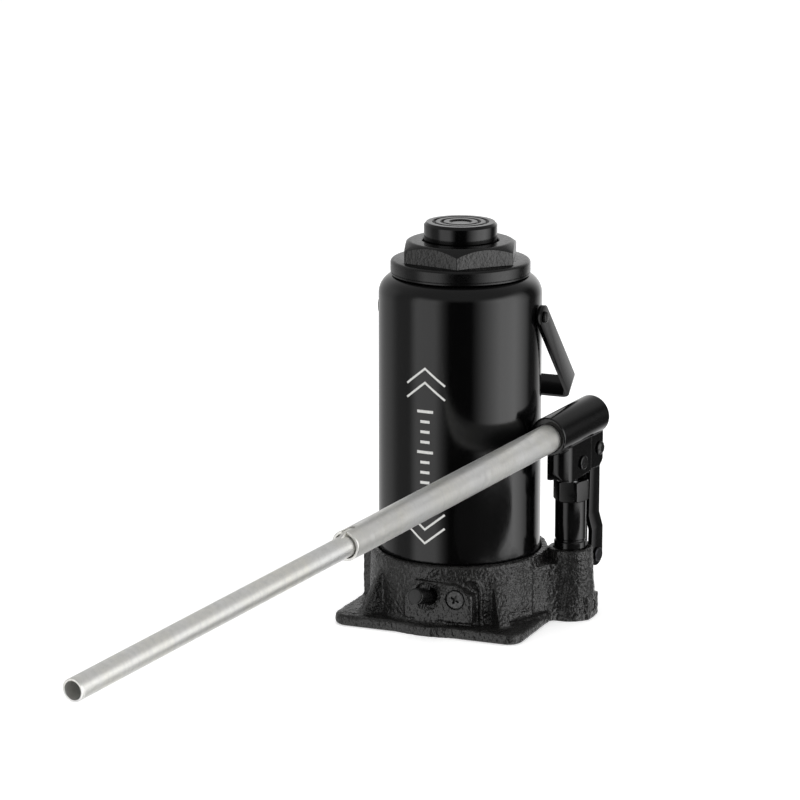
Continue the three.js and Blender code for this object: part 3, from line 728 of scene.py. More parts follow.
class JACK_OT_base_casting(bpy.types.Operator):
    """Builds the sand-cast base with its cup, pump boss, ribs and valve block"""

    bl_idname = "jack.base_casting"
    bl_label = "Base Casting"

    def execute(self, context):
        base = in_millimetres(context.scene.jack_base)
        link = in_millimetres(context.scene.jack_linkage)
        place = linkage_place()
        x, y = base.plate_width / 2, base.plate_depth / 2
        corners = [(x, y), (-x, y), (-x, -y), (x, -y)]
        plate = prism("base_casting", rounded([(*c, base.plate_corner) for c in corners], 10),
                      0, base.plate_thickness)
        casting = joined(
            bevelled(plate, 1.9, 4),
            cup_skin(base, base.plate_thickness),
            prism("web", [(40, -26), (51.5, -15), (58, -3), (66, 3.2), (66, 26), (59, 27), (44, 37),
                          (20, 30)], 0.2, 36),
            pump_boss(base, place),
            prism("passage_end", rounded([(64, 8), (81.2, 8, 2.0), (81.2, 27, 2.0), (64, 27)]), 0.2, 14.5),
            prism("side_lug", rounded([(-45, -11), (-60, -10, 2.5), (-60, 10, 2.5), (-45, 11)]), 0.2, 41.5),
            link_ear(link, place), valve_block(), *cast_ridges(),
            *[gusset(azimuth) for azimuth in (-44, -130, 44, 136)],
        )
        remeshed(casting, base.fineness * (1.0), 3)
        carved(casting, prism("mould_line", rounded([(-8, 33.0), (14, 33.0), (14, 34.6), (-8, 34.6)]),
                              52.6, 60, FRONTAL))
        modified(casting, "SMOOTH", factor=0.5, iterations=2)
        roughened(casting, base.grain, base.grain_depth, self.machined)
        carved(casting, base_bores(base, link, place))
        dressed(casting, "base", finishes().cast, "cast_black", "base_casting", sharp=50)
        return {"FINISHED"}

    @staticmethod
    def machined(places):
        """Gives 1 where the casting is machined flat: its underside and the valve block's face."""
        under = np.clip((1.2 - places[:, 2]) / 0.8, 0, 1)
        face = np.clip((VALVE_FACE + 0.6 - places[:, 1]) / 0.6, 0, 1) * (places[:, 2] > 8.5)
        return np.maximum(under, 0.55 * face)


# ------------------------------------------------------------------ tank


class JACK_OT_reservoir_tank(bpy.types.Operator):
    """Builds the drawn oil tank, its two gaskets and the filler plug"""

    bl_idname = "jack.reservoir_tank"
    bl_label = "Oil Tank"

    def execute(self, context):
        tank = in_millimetres(context.scene.jack_tank)
        rounds = context.scene.jack_stage.segments
        inside = tank.radius - tank.wall
        profile = rounded([(inside, tank.bottom), (tank.radius, tank.bottom, 0.4),
                           (tank.radius, tank.top, tank.shoulder), (tank.mouth, tank.top),
                           (tank.mouth, tank.top - tank.wall),
                           (inside, tank.top - tank.wall, tank.shoulder - tank.wall)], 18)
        shell = lathe("reservoir_tank", profile, rounds)
        carved(shell, lathe("filler_hole", [(0, 40), (4.3, 40), (4.3, 60), (0, 60)], 48, FILLER_PLACE))
        dressed(shell, "base", finishes().gloss, "gloss_black", "reservoir_tank")
        rings = {"tank_bottom_gasket": (46, 49.2, 30.3, tank.bottom - 0.3),
                 "tank_top_gasket": (29.5, 40.6, tank.top + 0.3, tank.underside - 0.3)}
        for name, (inner, outer, low, high) in rings.items():
            edge = min(0.3, (high - low) / 3)
            corners = [(inner, low), (outer, low, edge), (outer, high, edge), (inner, high)]
            gasket = lathe(name, rounded(corners, 3), 96)
            dressed(gasket, "base", finishes().rubber, "rubber", name)
        stopper = rounded([(0, 44), (4.6, 44, 0.5), (3.9, 46.2), (3.9, 49.5), (6, 49.5, 0.4),
                           (6, 52.4, 1.2), (2.2, 52.4, 0.3), (1.8, 51.8, 0.3), (0, 51.8)])
        plug = lathe("filler_plug", stopper, 48, FILLER_PLACE)
        dressed(plug, "base", finishes().rubber, "rubber", "filler_plug")
        return {"FINISHED"}


def printed_band(points, half, tank, closed):
    """Makes a printed band along a line of (across, up) points, wrapped on the tank."""
    steps = []
    ends = points + points[:1] if closed else points
    for a, b in zip(ends, ends[1:]):
        count = max(1, round((Vector(b) - Vector(a)).length / 0.8))
        steps += [Vector(a).lerp(Vector(b), k / count) for k in range(count)]
    if not closed:
        steps.append(Vector(points[-1]))
    bm = bmesh.new()
    rows = []
    for i, here in enumerate(steps):
        before = steps[i - 1] if closed or i else here
        after = steps[(i + 1) % len(steps)] if closed or i + 1 < len(steps) else here
        into = (here - before).normalized() if here != before else (after - here).normalized()
        out = (after - here).normalized() if after != here else into
        mitre = (into + out).normalized()
        side = Vector((-mitre.y, mitre.x)) * half / max(0.35, mitre.dot(into))
        row = []
        for across, layer in ((1, 0.02), (1, 0.09), (-1, 0.09), (-1, 0.02)):
            spot = here + side * across
            angle = MARKS_AZIMUTH + spot.x / tank.radius
            row.append(bm.verts.new(((tank.radius + layer) * math.cos(angle),
                                     (tank.radius + layer) * math.sin(angle), spot.y)))
        rows.append(row)
    loops = list(zip(rows, rows[1:] + (rows[:1] if closed else [])))
    for one, two in loops:
        for k in range(4):
            m = (k + 1) % 4
            bm.faces.new((one[k], one[m], two[m], two[k]))
    if not closed:
        bm.faces.new(rows[0])
        bm.faces.new(rows[-1][::-1])
    return bm


MARKS_AZIMUTH = math.radians(-93.3)


class JACK_OT_tank_marks(bpy.types.Operator):
    """Builds the plain white marks printed on the tank: lift and lower chevrons and a tick scale"""

    bl_idname = "jack.tank_marks"
    bl_label = "Tank Marks"

    def execute(self, context):
        tank = in_millimetres(context.scene.jack_tank)
        lines = []
        for middle, up in ((152.5, 1), (64.0, -1)):
            for lift in (-4.5, 4.0):
                spread = [(-12.5, middle + up * (lift - 4.8)), (0, middle + up * (lift + 5.2)),
                          (12.5, middle + up * (lift - 4.8))]
                lines.append((spread, 0.62))
        for i in range(9):
            half = 5.2 if i % 4 == 0 else 3.0
            height = 86.0 + i * 6.2
            lines.append(([(-half, height), (half, height)], 0.85))
        marks = None
        for points, half in lines:
            band = tidy_mesh(printed_band(points, half, tank, False), "tank_marks", UPRIGHT)
            marks = joined(marks, band) if marks else band
        dressed(marks, "base", finishes().ink, "gloss_black")
        return {"FINISHED"}


# ------------------------------------------------------------------ top nut, ram, screw and saddle


class JACK_OT_top_nut(bpy.types.Operator):
    """Builds the cast hexagon nut with its flange, and the wiper ring in it"""

    bl_idname = "jack.top_nut"
    bl_label = "Top Nut"

    def execute(self, context):
        tank = in_millimetres(context.scene.jack_tank)
        rim, lip, low = tank.flange_radius, NUT_BOX.low.z / MM, tank.underside
        flange = lathe("top_nut", rounded([
            (0, low), (rim - 1.1, low), (rim - 1.1, lip), (rim - 0.1, lip, 0.4),
            (rim - 0.1, lip + 1.2, 0.15), (rim - 0.5, lip + 1.4), (rim - 0.5, lip + 1.6),
            (rim, lip + 1.8, 0.15), (rim, tank.flange_top, 2.0),
            (34, tank.flange_top + 0.4), (0, tank.flange_top + 0.4)], 6), 160)
        trim = lathe("trim", rounded([(0, tank.flange_top - 1), (tank.hexagon + 1, tank.flange_top - 1),
                                      (tank.hexagon + 1, tank.nut_top - 5.3),
                                      (tank.hexagon - 6.5, tank.nut_top, 3.0), (0, tank.nut_top)]), 160)
        hexagon = prism("hexagon", rounded([(*p, 1.0) for p in polygon(tank.hexagon, 6, tank.nut_turn)], 3),
                        tank.flange_top - 0.5, tank.nut_top + 6)
        nut = boolean(flange, "UNION", boolean(hexagon, "INTERSECT", trim))
        bevelled(nut, 0.35, 2, 28)
        carved(nut,
               lathe("seat", [(0, low - 2), (27.3, low - 2), (27.3, 222.3), (19.3, 222.3), (19.3, 226),
                              (23, 226), (23, tank.nut_top - 0.6), (23.7, tank.nut_top + 0.2),
                              (23.7, 240), (0, 240)], 120))
        nut.data.materials.append(finishes().satin)
        nut.data.materials.append(finishes().cast_fine)
        for face in nut.data.polygons:
            height = face.center.z / MM
            outside = math.hypot(face.center.x, face.center.y) / MM > 24
            flat = abs(face.normal.z) < 0.1 and outside and height > tank.flange_top
            face.material_index = 1 if flat else 0
        dressed(nut, "base", None, "cast_black", "top_nut", sharp=30)
        wiper = lathe("ram_wiper", rounded([
            (19.3, 226.3), (22.7, 226.3), (22.7, 229.2, 0.5), (21.2, 229.2, 0.4), (20.4, 228.2, 0.4),
            (19.3, 229.0, 0.3)], 3), 96)
        dressed(wiper, "base", finishes().rubber, "rubber", "ram_wiper")
        return {"FINISHED"}


class JACK_OT_ram(bpy.types.Operator):
    """Builds the pressure cylinder and its washer, the ram and its packing"""

    bl_idname = "jack.ram"
    bl_label = "Ram and Cylinder"

    def execute(self, context):
        radius = in_millimetres(context.scene.jack_tank).ram_radius
        low, high = CYLINDER_BOX.low.z / MM, CYLINDER_BOX.high.z / MM
        top = RAM_BOX.high.z / MM
        made = finishes()
        pieces = {
            "ram_cylinder": ("base", made.steel, "bright_steel",
                             [(21.5, low), (27, low, 0.6), (27, high, 0.6), (21.5, high, 0.4)]),
            "cylinder_washer": ("base", made.copper, "copper",
                                [(22, 13.3, 0.3), (26.6, 13.3, 0.3), (26.6, 14.7, 0.3), (22, 14.7, 0.3)]),
            "ram": ("ram", made.steel, "bright_steel",
                    [(0, 18.6), (14, 18.6, 0.4), (14, 24.2), (21.1, 24.2, 0.4), (21.1, 34, 0.5),
                     (radius, 36), (radius, top, 1.2), (13.6, top, 0.5), (13.6, 66, 2.0), (0, 66)]),
            "ram_packing": ("ram", made.rubber, "rubber",
                            [(14.3, 20.6), (21.2, 20.6, 0.6), (20.6, 22.6, 0.5), (21.2, 23.9, 0.3),
                             (14.3, 23.9)]),
            "packing_retainer": ("ram", made.dark, "dark_steel",
                                 [(0, 15.6), (18, 15.6, 0.6), (19.5, 18.3, 0.6), (0, 18.3)]),
        }
        for name, (body, finish, slot, corners) in pieces.items():
            dressed(lathe(name, rounded(corners), 120), body, finish, slot, name)
        return {"FINISHED"}


def threaded_bar(name, low, high, crest, root, pitch, segments=96):
    """Makes a bar with a helical thread, longer than it needs to be at both ends."""
    steps = [(0.0, root), (0.22, root), (0.36, crest), (0.64, crest), (0.78, root)]
    first, last = math.floor(low / pitch) - 1, math.ceil(high / pitch) + 1
    bm = bmesh.new()
    rows = []
    for thread in range(first, last):
        for share_of_pitch, radius in steps:
            ring = []
            for i in range(segments):
                angle = TURN * i / segments
                height = (thread + share_of_pitch + i / segments) * pitch
                ring.append(bm.verts.new((radius * math.cos(angle), radius * math.sin(angle), height)))
            rows.append(ring)
    rise = len(steps)
    for k in range(len(rows) - rise - 1):
        for i in range(segments - 1):
            bm.faces.new((rows[k][i], rows[k][i + 1], rows[k + 1][i + 1], rows[k + 1][i]))
        bm.faces.new((rows[k][-1], rows[k + rise][0], rows[k + rise + 1][0], rows[k + 1][-1]))
    bmesh.ops.delete(bm, geom=[v for v in bm.verts if not v.link_faces], context="VERTS")
    bmesh.ops.holes_fill(bm, edges=[e for e in bm.edges if e.is_boundary], sides=0)
    return tidy_mesh(bm, name, UPRIGHT)


class JACK_OT_saddle(bpy.types.Operator):
    """Builds the extension screw with its thread and the grooved saddle on it"""

    bl_idname = "jack.saddle"
    bl_label = "Saddle and Screw"

    def execute(self, context):
        tank = in_millimetres(context.scene.jack_tank)
        ram_top = RAM_BOX.high.z / MM
        screw = threaded_bar("extension_screw", 66, ram_top + 4, 13.2, 11.3, tank.thread_pitch)
        shape = lathe("shape", rounded([(0, 70), (13.6, 70, 2.4), (13.6, ram_top - 0.6, 1.8),
                                        (11, ram_top - 0.2), (0, ram_top - 0.2)]), 96)
        boolean(screw, "INTERSECT", shape)
        spigot = lathe("spigot", rounded([(0, ram_top - 3), (8, ram_top - 3), (8, 238, 0.5), (0, 238)]), 64)
        boolean(screw, "UNION", spigot)
        dressed(screw, "screw", finishes().steel, "bright_steel", "extension_screw")
        top, radius = tank.saddle_top, tank.saddle_radius
        grooves = []
        for middle in (16.2, 11.4):
            grooves += [(middle + 0.9, top, 0.2), (middle + 0.3, top - 1.5, 0.3),
                        (middle - 0.5, top - 1.5, 0.3), (middle - 1.3, top, 0.3)]
        profile = rounded([
            (0, 238.4), (8.3, 238.4), (8.3, 229.4), (17.5, 229.4, 0.3), (17.5, 230.2), (radius, 230.2, 0.5),
            (radius, top - 1.7, 0.25), (radius - 1.5, top, 0.25), *grooves,
            (7.1, top, 0.25), (6.5, top - 0.8, 0.3), (0, top - 0.6)], 4)
        cap = lathe("saddle", profile, 160)
        dressed(cap, "saddle", finishes().gloss, "gloss_black", "saddle", sharp=40)
        return {"FINISHED"}


# ------------------------------------------------------------------ pump


class JACK_OT_pump(bpy.types.Operator):
    """Builds the pump cylinder with its hexagon, the plunger and their seals"""

    bl_idname = "jack.pump"
    bl_label = "Pump"

    def execute(self, context):
        place = linkage_place()
        made = finishes()
        self.cylinder(place)
        self.plunger(place, in_millimetres(context.scene.jack_linkage))
        rings = {
            "pump_washer": ("base", made.copper, "copper", (6.6, 9.8, 20.3, 21.9)),
            "gland_seal": ("base", made.rubber, "rubber", (6.5, 7.9, 80.0, 83.0)),
            "plunger_seal": ("plunger", made.rubber, "rubber", (3.7, 6.3, 23.4, 26.1)),
        }
        for name, (body, finish, slot, (inner, outer, low, high)) in rings.items():
            corners = [(inner, low), (outer, low, 0.5), (outer, high, 0.5), (inner, high)]
            dressed(lathe(name, rounded(corners, 4), 64, place), body, finish, slot, name)
        return {"FINISHED"}

    @staticmethod
    def cylinder(place):
        """Makes the pump cylinder: collar, groove line, barrel and hexagon."""
        top = PUMP_BOX.high.z / MM
        barrel = lathe("pump_cylinder", rounded([
            (0, 22.2), (9.9, 22.2, 0.4), (9.9, 47.6, 0.4), (9.0, 48.2), (9.0, 49.0), (9.5, 49.6, 0.3),
            (9.5, 73.0, 0.3), (9.1, 73.3), (9.1, 74.6), (0, 74.6)], 4), 96, place)
        hexagon = prism("hexagon", rounded([(*p, 0.5) for p in polygon(10.85, 6, 0.35)], 3), 73.4, top + 2,
                        UPRIGHT, place)
        trim = lathe("trim", rounded([(0, 73.3), (10.1, 73.3), (11.4, 74.6, 0.3), (11.4, top - 1.3),
                                      (9.9, top, 0.5), (0, top)], 4), 96, place)
        boolean(barrel, "UNION", boolean(hexagon, "INTERSECT", trim))
        bevelled(barrel, 0.2, 2, 28)
        carved(barrel, lathe("bore", [(0, 20), (6.6, 20), (6.6, 79.7), (8.2, 79.7), (8.2, 83.3), (6.6, 83.3),
                                      (6.6, top + 1), (0, top + 1)], 64, place))
        dressed(barrel, "base", finishes().gloss, "gloss_black", "pump_cylinder", sharp=30)

    @staticmethod
    def plunger(place, link):
        """Makes the plunger with its flat eye and the long hole for the front pin."""
        rod = lathe("pump_plunger", rounded([
            (0, 23), (3.4, 23, 0.3), (3.4, 26.4), (6.2, 26.4, 0.4), (6.2, 83.4, 0.8), (4.5, 84.6),
            (4.5, 92), (0, 92)], 4), 64, place)
        height = link.front_pin
        head = prism("head", arc((0, height), 7.5, 0, math.pi, 32) + [(-4.5, 91), (4.5, 91)], -5.2, 5.2,
                     SIDEWAYS, place)
        boolean(rod, "UNION", bevelled(head, 0.6, 3, 50))
        carved(rod, prism("long_hole", belt((-0.95, height), 3.85, (0.95, height), 3.85), -20, 20,
                          SIDEWAYS, place))
        dressed(rod, "plunger", finishes().steel, "bright_steel", "pump_plunger")


def coil(name, radius, wire, low, high, turns, place):
    """Makes a coil spring about Z, rising evenly from one end to the other."""
    steps = 20
    points = []
    for i in range(int(turns * steps) + 1):
        angle = TURN * i / steps
        height = low + (high - low) * i / (turns * steps)
        points.append((radius * math.cos(angle), radius * math.sin(angle), height))
    return sweep(name, points, wire, 8, place)


def steel_ball(name, radius, place):
    """Makes a ball as a turned arc."""
    return lathe(name, arc((0, 0), radius, -QUARTER, QUARTER, 20), 32, place)


class JACK_OT_check_valves(bpy.types.Operator):
    """Builds the balls and springs of the pump's two check valves"""

    bl_idname = "jack.check_valves"
    bl_label = "Check Valves"

    def execute(self, context):
        for name, x in (("inlet", -4.5), ("outlet", 4.5)):
            place = linkage_place() @ Matrix.Translation((x, 0, 0))
            ball = steel_ball(f"{name}_ball", 2.0, place @ Matrix.Translation((0, 0, 13.4)))
            dressed(ball, "base", finishes().steel, "bright_steel", f"{name}_ball")
            spring = coil(f"{name}_spring", 1.6, 0.3, 16, 19.4, 3, place)
            dressed(spring, "base", finishes().steel, "bright_steel", f"{name}_spring", sharp=60)
        return {"FINISHED"}


# ------------------------------------------------------------------ link and socket


def cross_pin(name, pin, inside, head, height, dome, place):
    """Makes a headed pin across the linkage. dome is the share of the head that is rounded."""
    ahead, up, radius = pin
    end = inside + 0.3
    edge = height * (0.75 if dome else 0.3)
    crown = [(head, end, 0.15), (head, end + height * (0.45 if dome else 0.75), edge * 0.6)]
    crown += [(head * 0.55, end + height, 1.0)] if dome else [(head - 0.6, end + height, 0.25)]
    lower = [(r, -z, *rest) for r, z, *rest in crown][::-1]
    corners = [(0, -end - height), *lower, (radius, -end), (radius, end), *crown, (0, end + height)]
    across = place @ Matrix.Translation((0, -ahead, up)) @ ACROSS
    return lathe(name, rounded(corners, 4), 48, across)


class JACK_OT_link(bpy.types.Operator):
    """Builds the two bent straps of the link and the pin that holds them to the base"""

    bl_idname = "jack.link"
    bl_label = "Link"

    def execute(self, context):
        link = in_millimetres(context.scene.jack_linkage)
        place = linkage_place()
        foot, head = (-link.lower_pin_back, link.lower_pin), (-link.rear_pin_back, link.rear_pin)
        thick, upper, lower = 2.8, 1.4, 4.0
        for name, side in (("outer", 1), ("inner", -1)):
            bends = rounded([(upper, 120), (upper, 59.2, 5.0), (lower, 51, 5.0), (lower, 20),
                             (lower + thick, 20), (lower + thick, 51.6, 5.0), (upper + thick, 59.8, 5.0),
                             (upper + thick, 120)], 6)
            strap = prism(f"link_strap_{name}", [(side * u, v) for u, v in bends], -60, 20, FRONTAL, place)
            outline = belt(foot, 7, head, 5.6, 24)
            boolean(strap, "INTERSECT", prism("outline", outline, -20, 20, SIDEWAYS, place))
            bevelled(strap, 0.5, 3, 40)
            for hole, radius in ((foot, 3.6), (head, 3.3)):
                carved(strap, prism("hole", arc(hole, radius, 0, TURN, 40)[:40], -20, 20, SIDEWAYS, place))
            dressed(strap, "link", finishes().gloss, "gloss_black", f"link_strap_{name}")
        # The lower pin is blackened steel. It is kept dark so that it also stands in for the shade in the
        # gap between the ear and the strap: partly painted shade.
        pin = cross_pin("link_lower_pin", (*foot, 3.3), lower + thick, 4.4, 1.4, False, place)
        dressed(pin, "link", finishes().dark, "dark_steel", "link_lower_pin")
        return {"FINISHED"}


def nose(half, rear):
    """Gives the plan of the socket's U-shaped front part."""
    return [*arc((0, -12.2), half, -math.pi, 0, 36), (half, rear), (-half, rear)]


class JACK_OT_handle_socket(bpy.types.Operator):
    """Builds the handle socket with its folded skirt, and its two pins"""

    bl_idname = "jack.handle_socket"
    bl_label = "Handle Socket"

    def execute(self, context):
        link = in_millimetres(context.scene.jack_linkage)
        handle = in_millimetres(context.scene.jack_handle)
        place, along = linkage_place(), handle_place()
        roof = handle.height
        side = rounded([(-27, 93.6, 1.0), (-23.4, 89.8, 1.2), (-10, 89.8, 6.0), (13.5, 86.8, 3.0),
                        (18.2, 88, 3.0), (20.2, 92, 3.0), (21.6, roof), (-27, roof)])
        skirt = prism("handle_socket", nose(8.2, 10.5), 80, roof, UPRIGHT, place)
        boolean(skirt, "UNION", prism("rear", [(-6.8, 9.5), (6.8, 9.5), (6.8, 27), (-6.8, 27)], 80, roof,
                                      UPRIGHT, place))
        boolean(skirt, "INTERSECT", prism("side", side, -20, 20, SIDEWAYS, place))
        hollow = prism("hollow", nose(6.0, 8.6), 78, roof + 1, UPRIGHT, place)
        boolean(hollow, "UNION", prism("rear", [(-4.6, 7.5), (4.6, 7.5), (4.6, 40), (-4.6, 40)],
                                       78, roof + 1, UPRIGHT, place))
        carved(skirt, hollow)
        radius = handle.socket_radius
        tube = lathe("tube", rounded([(0, -26), (radius, -26, 1.2), (radius, 28, 0.7), (0, 28)]), 96,
                     along @ Matrix.Translation((0, handle.socket_rise, 0)))
        socket = joined(skirt, tube)
        remeshed(socket, 0.45, 7)
        carved(socket, lathe("bore", [(0, -40), (7, -40), (7, -22), (8.95, -22), (8.95, 27.6), (9.3, 28.2),
                                      (9.3, 40), (0, 40)], 96, along))
        pins = {"socket_front_pin": ((0, link.front_pin, 3.3), 8.2, 4.2, 1.1, False),
                "socket_rear_pin": ((-link.rear_pin_back, link.rear_pin, 3.0), 6.8, 4.2, 1.8, True)}
        for name, (pin, inside, head, height, dome) in pins.items():
            hole = arc(pin[:2], pin[2] + 0.3, 0, TURN, 40)[:40]
            carved(socket, prism("hole", hole, -20, 20, SIDEWAYS, place))
            made = cross_pin(name, pin, inside, head, height, dome, place)
            dressed(made, "socket", finishes().satin, "dark_steel", name)
        dressed(socket, "socket", finishes().gloss, "gloss_black", "handle_socket", sharp=50)
        return {"FINISHED"}


# ------------------------------------------------------------------ handle


class JACK_OT_handle(bpy.types.Operator):
    """Builds the two zinc-plated tubes of the handle, locked by a lug in a slot"""

    bl_idname = "jack.handle"
    bl_label = "Handle"

    def execute(self, context):
        handle = in_millimetres(context.scene.jack_handle)
        along = handle_place()
        outer, inner = handle.outer_radius, handle.inner_radius
        joint, tip = handle.joint, handle.tip
        grip = lathe("handle_outer_tube", rounded([
            (7, -21), (outer, -21, 0.4), (outer, joint - 2.4), (outer + 0.12, joint - 1.8),
            (outer + 0.12, joint, 0.35), (7.1, joint, 0.3)], 4), 96, along)
        carved(grip, prism("slot", rounded([(-1.65, 236.5, 1.5), (1.65, 236.5, 1.5), (1.65, joint + 3),
                                            (-1.65, joint + 3)]), -12, -4, UPRIGHT,
                           along @ Matrix.Rotation(QUARTER, 4, "X")))
        dressed(grip, "handle_outer", finishes().zinc, "zinc_steel", "handle_outer_tube")
        tube = lathe("handle_inner_tube", rounded([
            (5.1, 200), (6.65, 200, 0.4), (6.65, joint - 8, 1.5), (inner, joint - 4, 1.5),
            (inner, tip - 2.1),
            (inner - 0.14, tip - 1.9), (inner - 0.14, tip - 1.6), (inner, tip - 1.4), (inner, tip, 0.3),
            (5.1, tip, 0.2)], 4), 96, along)
        ridge = rounded([(238.5, 5.6), (238.5, 8.3, 0.6), (246, 8.3, 3.0), (254, 5.6)], 5)
        lug = prism("lug", [(-z, y) for z, y in ridge], -1.2, 1.2, UPRIGHT,
                    along @ Matrix.Rotation(QUARTER, 4, "Y"))
        boolean(tube, "UNION", bevelled(lug, 0.45, 3, 40))
        dressed(tube, "handle_inner", finishes().zinc, "zinc_steel", "handle_inner_tube")
        return {"FINISHED"}


# ------------------------------------------------------------------ valves


class JACK_OT_release_valve(bpy.types.Operator):
    """Builds the release spindle with its cross pin, seal and ball"""

    bl_idname = "jack.release_valve"
    bl_label = "Release Valve"

    def execute(self, context):
        across = (RELEASE_PLACE @ Matrix.Translation((0, 0, 2.6))
                  @ Matrix.Rotation(math.radians(78), 4, "Z") @ ACROSS)
        spindle = lathe("release_spindle", rounded([
            (0, -17.4), (1.6, -17.4), (2.6, -16), (2.6, -12.6), (5, -12.6, 0.3), (5, -6.4, 0.2), (3.8, -6.2),
            (3.8, -3.8), (5, -3.6, 0.2), (5, -0.4), (4.8, 0), (4.8, 17.0), (4.65, 17.4), (4.8, 17.8),
            (4.8, 20, 0.9), (0, 20)], 4), 64, RELEASE_PLACE)
        carved(spindle, lathe("pin_hole", [(0, -10), (1.9, -10), (1.9, 10), (0, 10)], 32, across))
        dressed(spindle, "release_valve", finishes().satin, "gloss_black", "release_spindle")
        pin = lathe("release_cross_pin", rounded([(0, -8), (1.6, -8, 0.5), (1.6, 8, 0.5), (0, 8)]), 40,
                    across)
        dressed(pin, "release_valve", finishes().satin, "gloss_black", "release_cross_pin")
        seal = lathe("release_seal", rounded([(4.1, -6), (5.1, -6, 0.4), (5.1, -4, 0.4), (4.1, -4)]), 48,
                     RELEASE_PLACE)
        dressed(seal, "release_valve", finishes().rubber, "rubber", "release_seal")
        ball = steel_ball("release_ball", 2.3, RELEASE_PLACE @ Matrix.Translation((0, 0, -20.1)))
        dressed(ball, "release_ball", finishes().steel, "bright_steel", "release_ball")
        return {"FINISHED"}


class JACK_OT_overload_valve(bpy.types.Operator):
    """Builds the overload plug with its cross recess, its spring and ball, and the passage plug"""

    bl_idname = "jack.overload_valve"
    bl_label = "Overload Valve"

    def execute(self, context):
        plug = lathe("overload_plug", rounded([(0, -10.4), (4.7, -10.4), (5.5, -9.6), (5.5, 0, 0.6),
                                               (0, 0)], 4), 64, OVERLOAD_PLACE)
        turned = OVERLOAD_PLACE @ Matrix.Rotation(math.radians(-27), 4, "Z")
        for wide, high in ((2.9, 0.75), (0.75, 2.9)):
            corners = [(wide, high, 0.5), (-wide, high, 0.5), (-wide, -high, 0.5), (wide, -high, 0.5)]
            carved(plug, prism("recess", rounded(corners), -2.2, 1, UPRIGHT, turned))
        bevelled(plug, 0.15, 2, 40)
        dressed(plug, "base", finishes().phosphated, "dark_steel", "overload_plug")
        spring = coil("overload_spring", 2.5, 0.4, -15.4, -11.4, 3, OVERLOAD_PLACE)
        dressed(spring, "base", finishes().steel, "bright_steel", "overload_spring", sharp=60)
        ball = steel_ball("overload_ball", 2.0, OVERLOAD_PLACE @ Matrix.Translation((0, 0, -18.3)))
        dressed(ball, "base", finishes().steel, "bright_steel", "overload_ball")
        stopper = lathe("passage_plug", rounded([(0, 75.4), (3.3, 75.4, 0.4), (3.3, 80.8, 0.7),
                                                 (0, 81.0)], 4), 40, PASSAGE_PLACE)
        dressed(stopper, "base", finishes().cast_fine, "dark_steel", "passage_plug")
        return {"FINISHED"}


# ------------------------------------------------------------------ carrying bail


class JACK_OT_bail(bpy.types.Operator):
    """Builds the carrying bail, bent from one flat strap, and the studs it turns on"""

    bl_idname = "jack.bail"
    bl_label = "Carrying Bail"

    def execute(self, context):
        bail = in_millimetres(context.scene.jack_bail)
        pivot = Matrix.Translation((0, bail.pivot_y, bail.pivot_z))
        place = pivot @ Matrix.Rotation(bail.angle, 4, "X")
        half, inner, low = bail.width / 2, bail.reach - bail.thickness, bail.length
        tight = bail.bend - bail.thickness
        outline = rounded([(bail.reach, half), (inner, half), (inner, -low + bail.thickness, tight),
                           (-inner, -low + bail.thickness, tight), (-inner, half), (-bail.reach, half),
                           (-bail.reach, -low, bail.bend), (bail.reach, -low, bail.bend)], 9)
        strap = prism("carry_bail", outline, -half, half, FRONTAL, place)
        boolean(strap, "INTERSECT", prism("ends", belt((0, 0), half, (0, -low * 2), half, 28), -80, 80,
                                          SIDEWAYS, place))
        bevelled(strap, 0.55, 3, 40)
        carved(strap, lathe("holes", [(0, -80), (2.7, -80), (2.7, 80), (0, 80)], 40, place @ ACROSS))
        dressed(strap, "bail", finishes().gloss, "gloss_black", "carry_bail")
        end = bail.reach + 0.3
        for name, side in (("right", 1), ("left", -1)):
            corners = [(0, 49.3), (2.4, 49.3, 0.2), (2.4, end), (3.5, end, 0.2), (3.5, end + 1.5, 0.8),
                       (0, end + 1.5)]
            stud = lathe(f"bail_stud_{name}", rounded(corners, 5), 40,
                         pivot @ Matrix.Rotation(side * QUARTER, 4, "Y"))
            dressed(stud, "base", finishes().satin, "dark_steel", f"bail_stud_{name}")
        return {"FINISHED"}


# ------------------------------------------------------------------ stage

# The studio's softboxes, as (azimuth in degrees, brightness): 0 is the front, 90 the right.
SURROUND = [(-180, 0.75), (-140, 0.42), (-112, 0.38), (-92, 0.42), (-76, 0.24), (-54, 0.28), (-42, 1.15),
            (-14, 1.15), (-2, 0.30), (6, 0.01), (38, 0.01), (47, 0.35), (60, 1.05), (80, 2.1), (104, 2.1),
            (122, 0.9), (136, 0.06), (150, 0.06), (172, 0.6), (180, 0.75)]
BRIGHTEST = 2.1


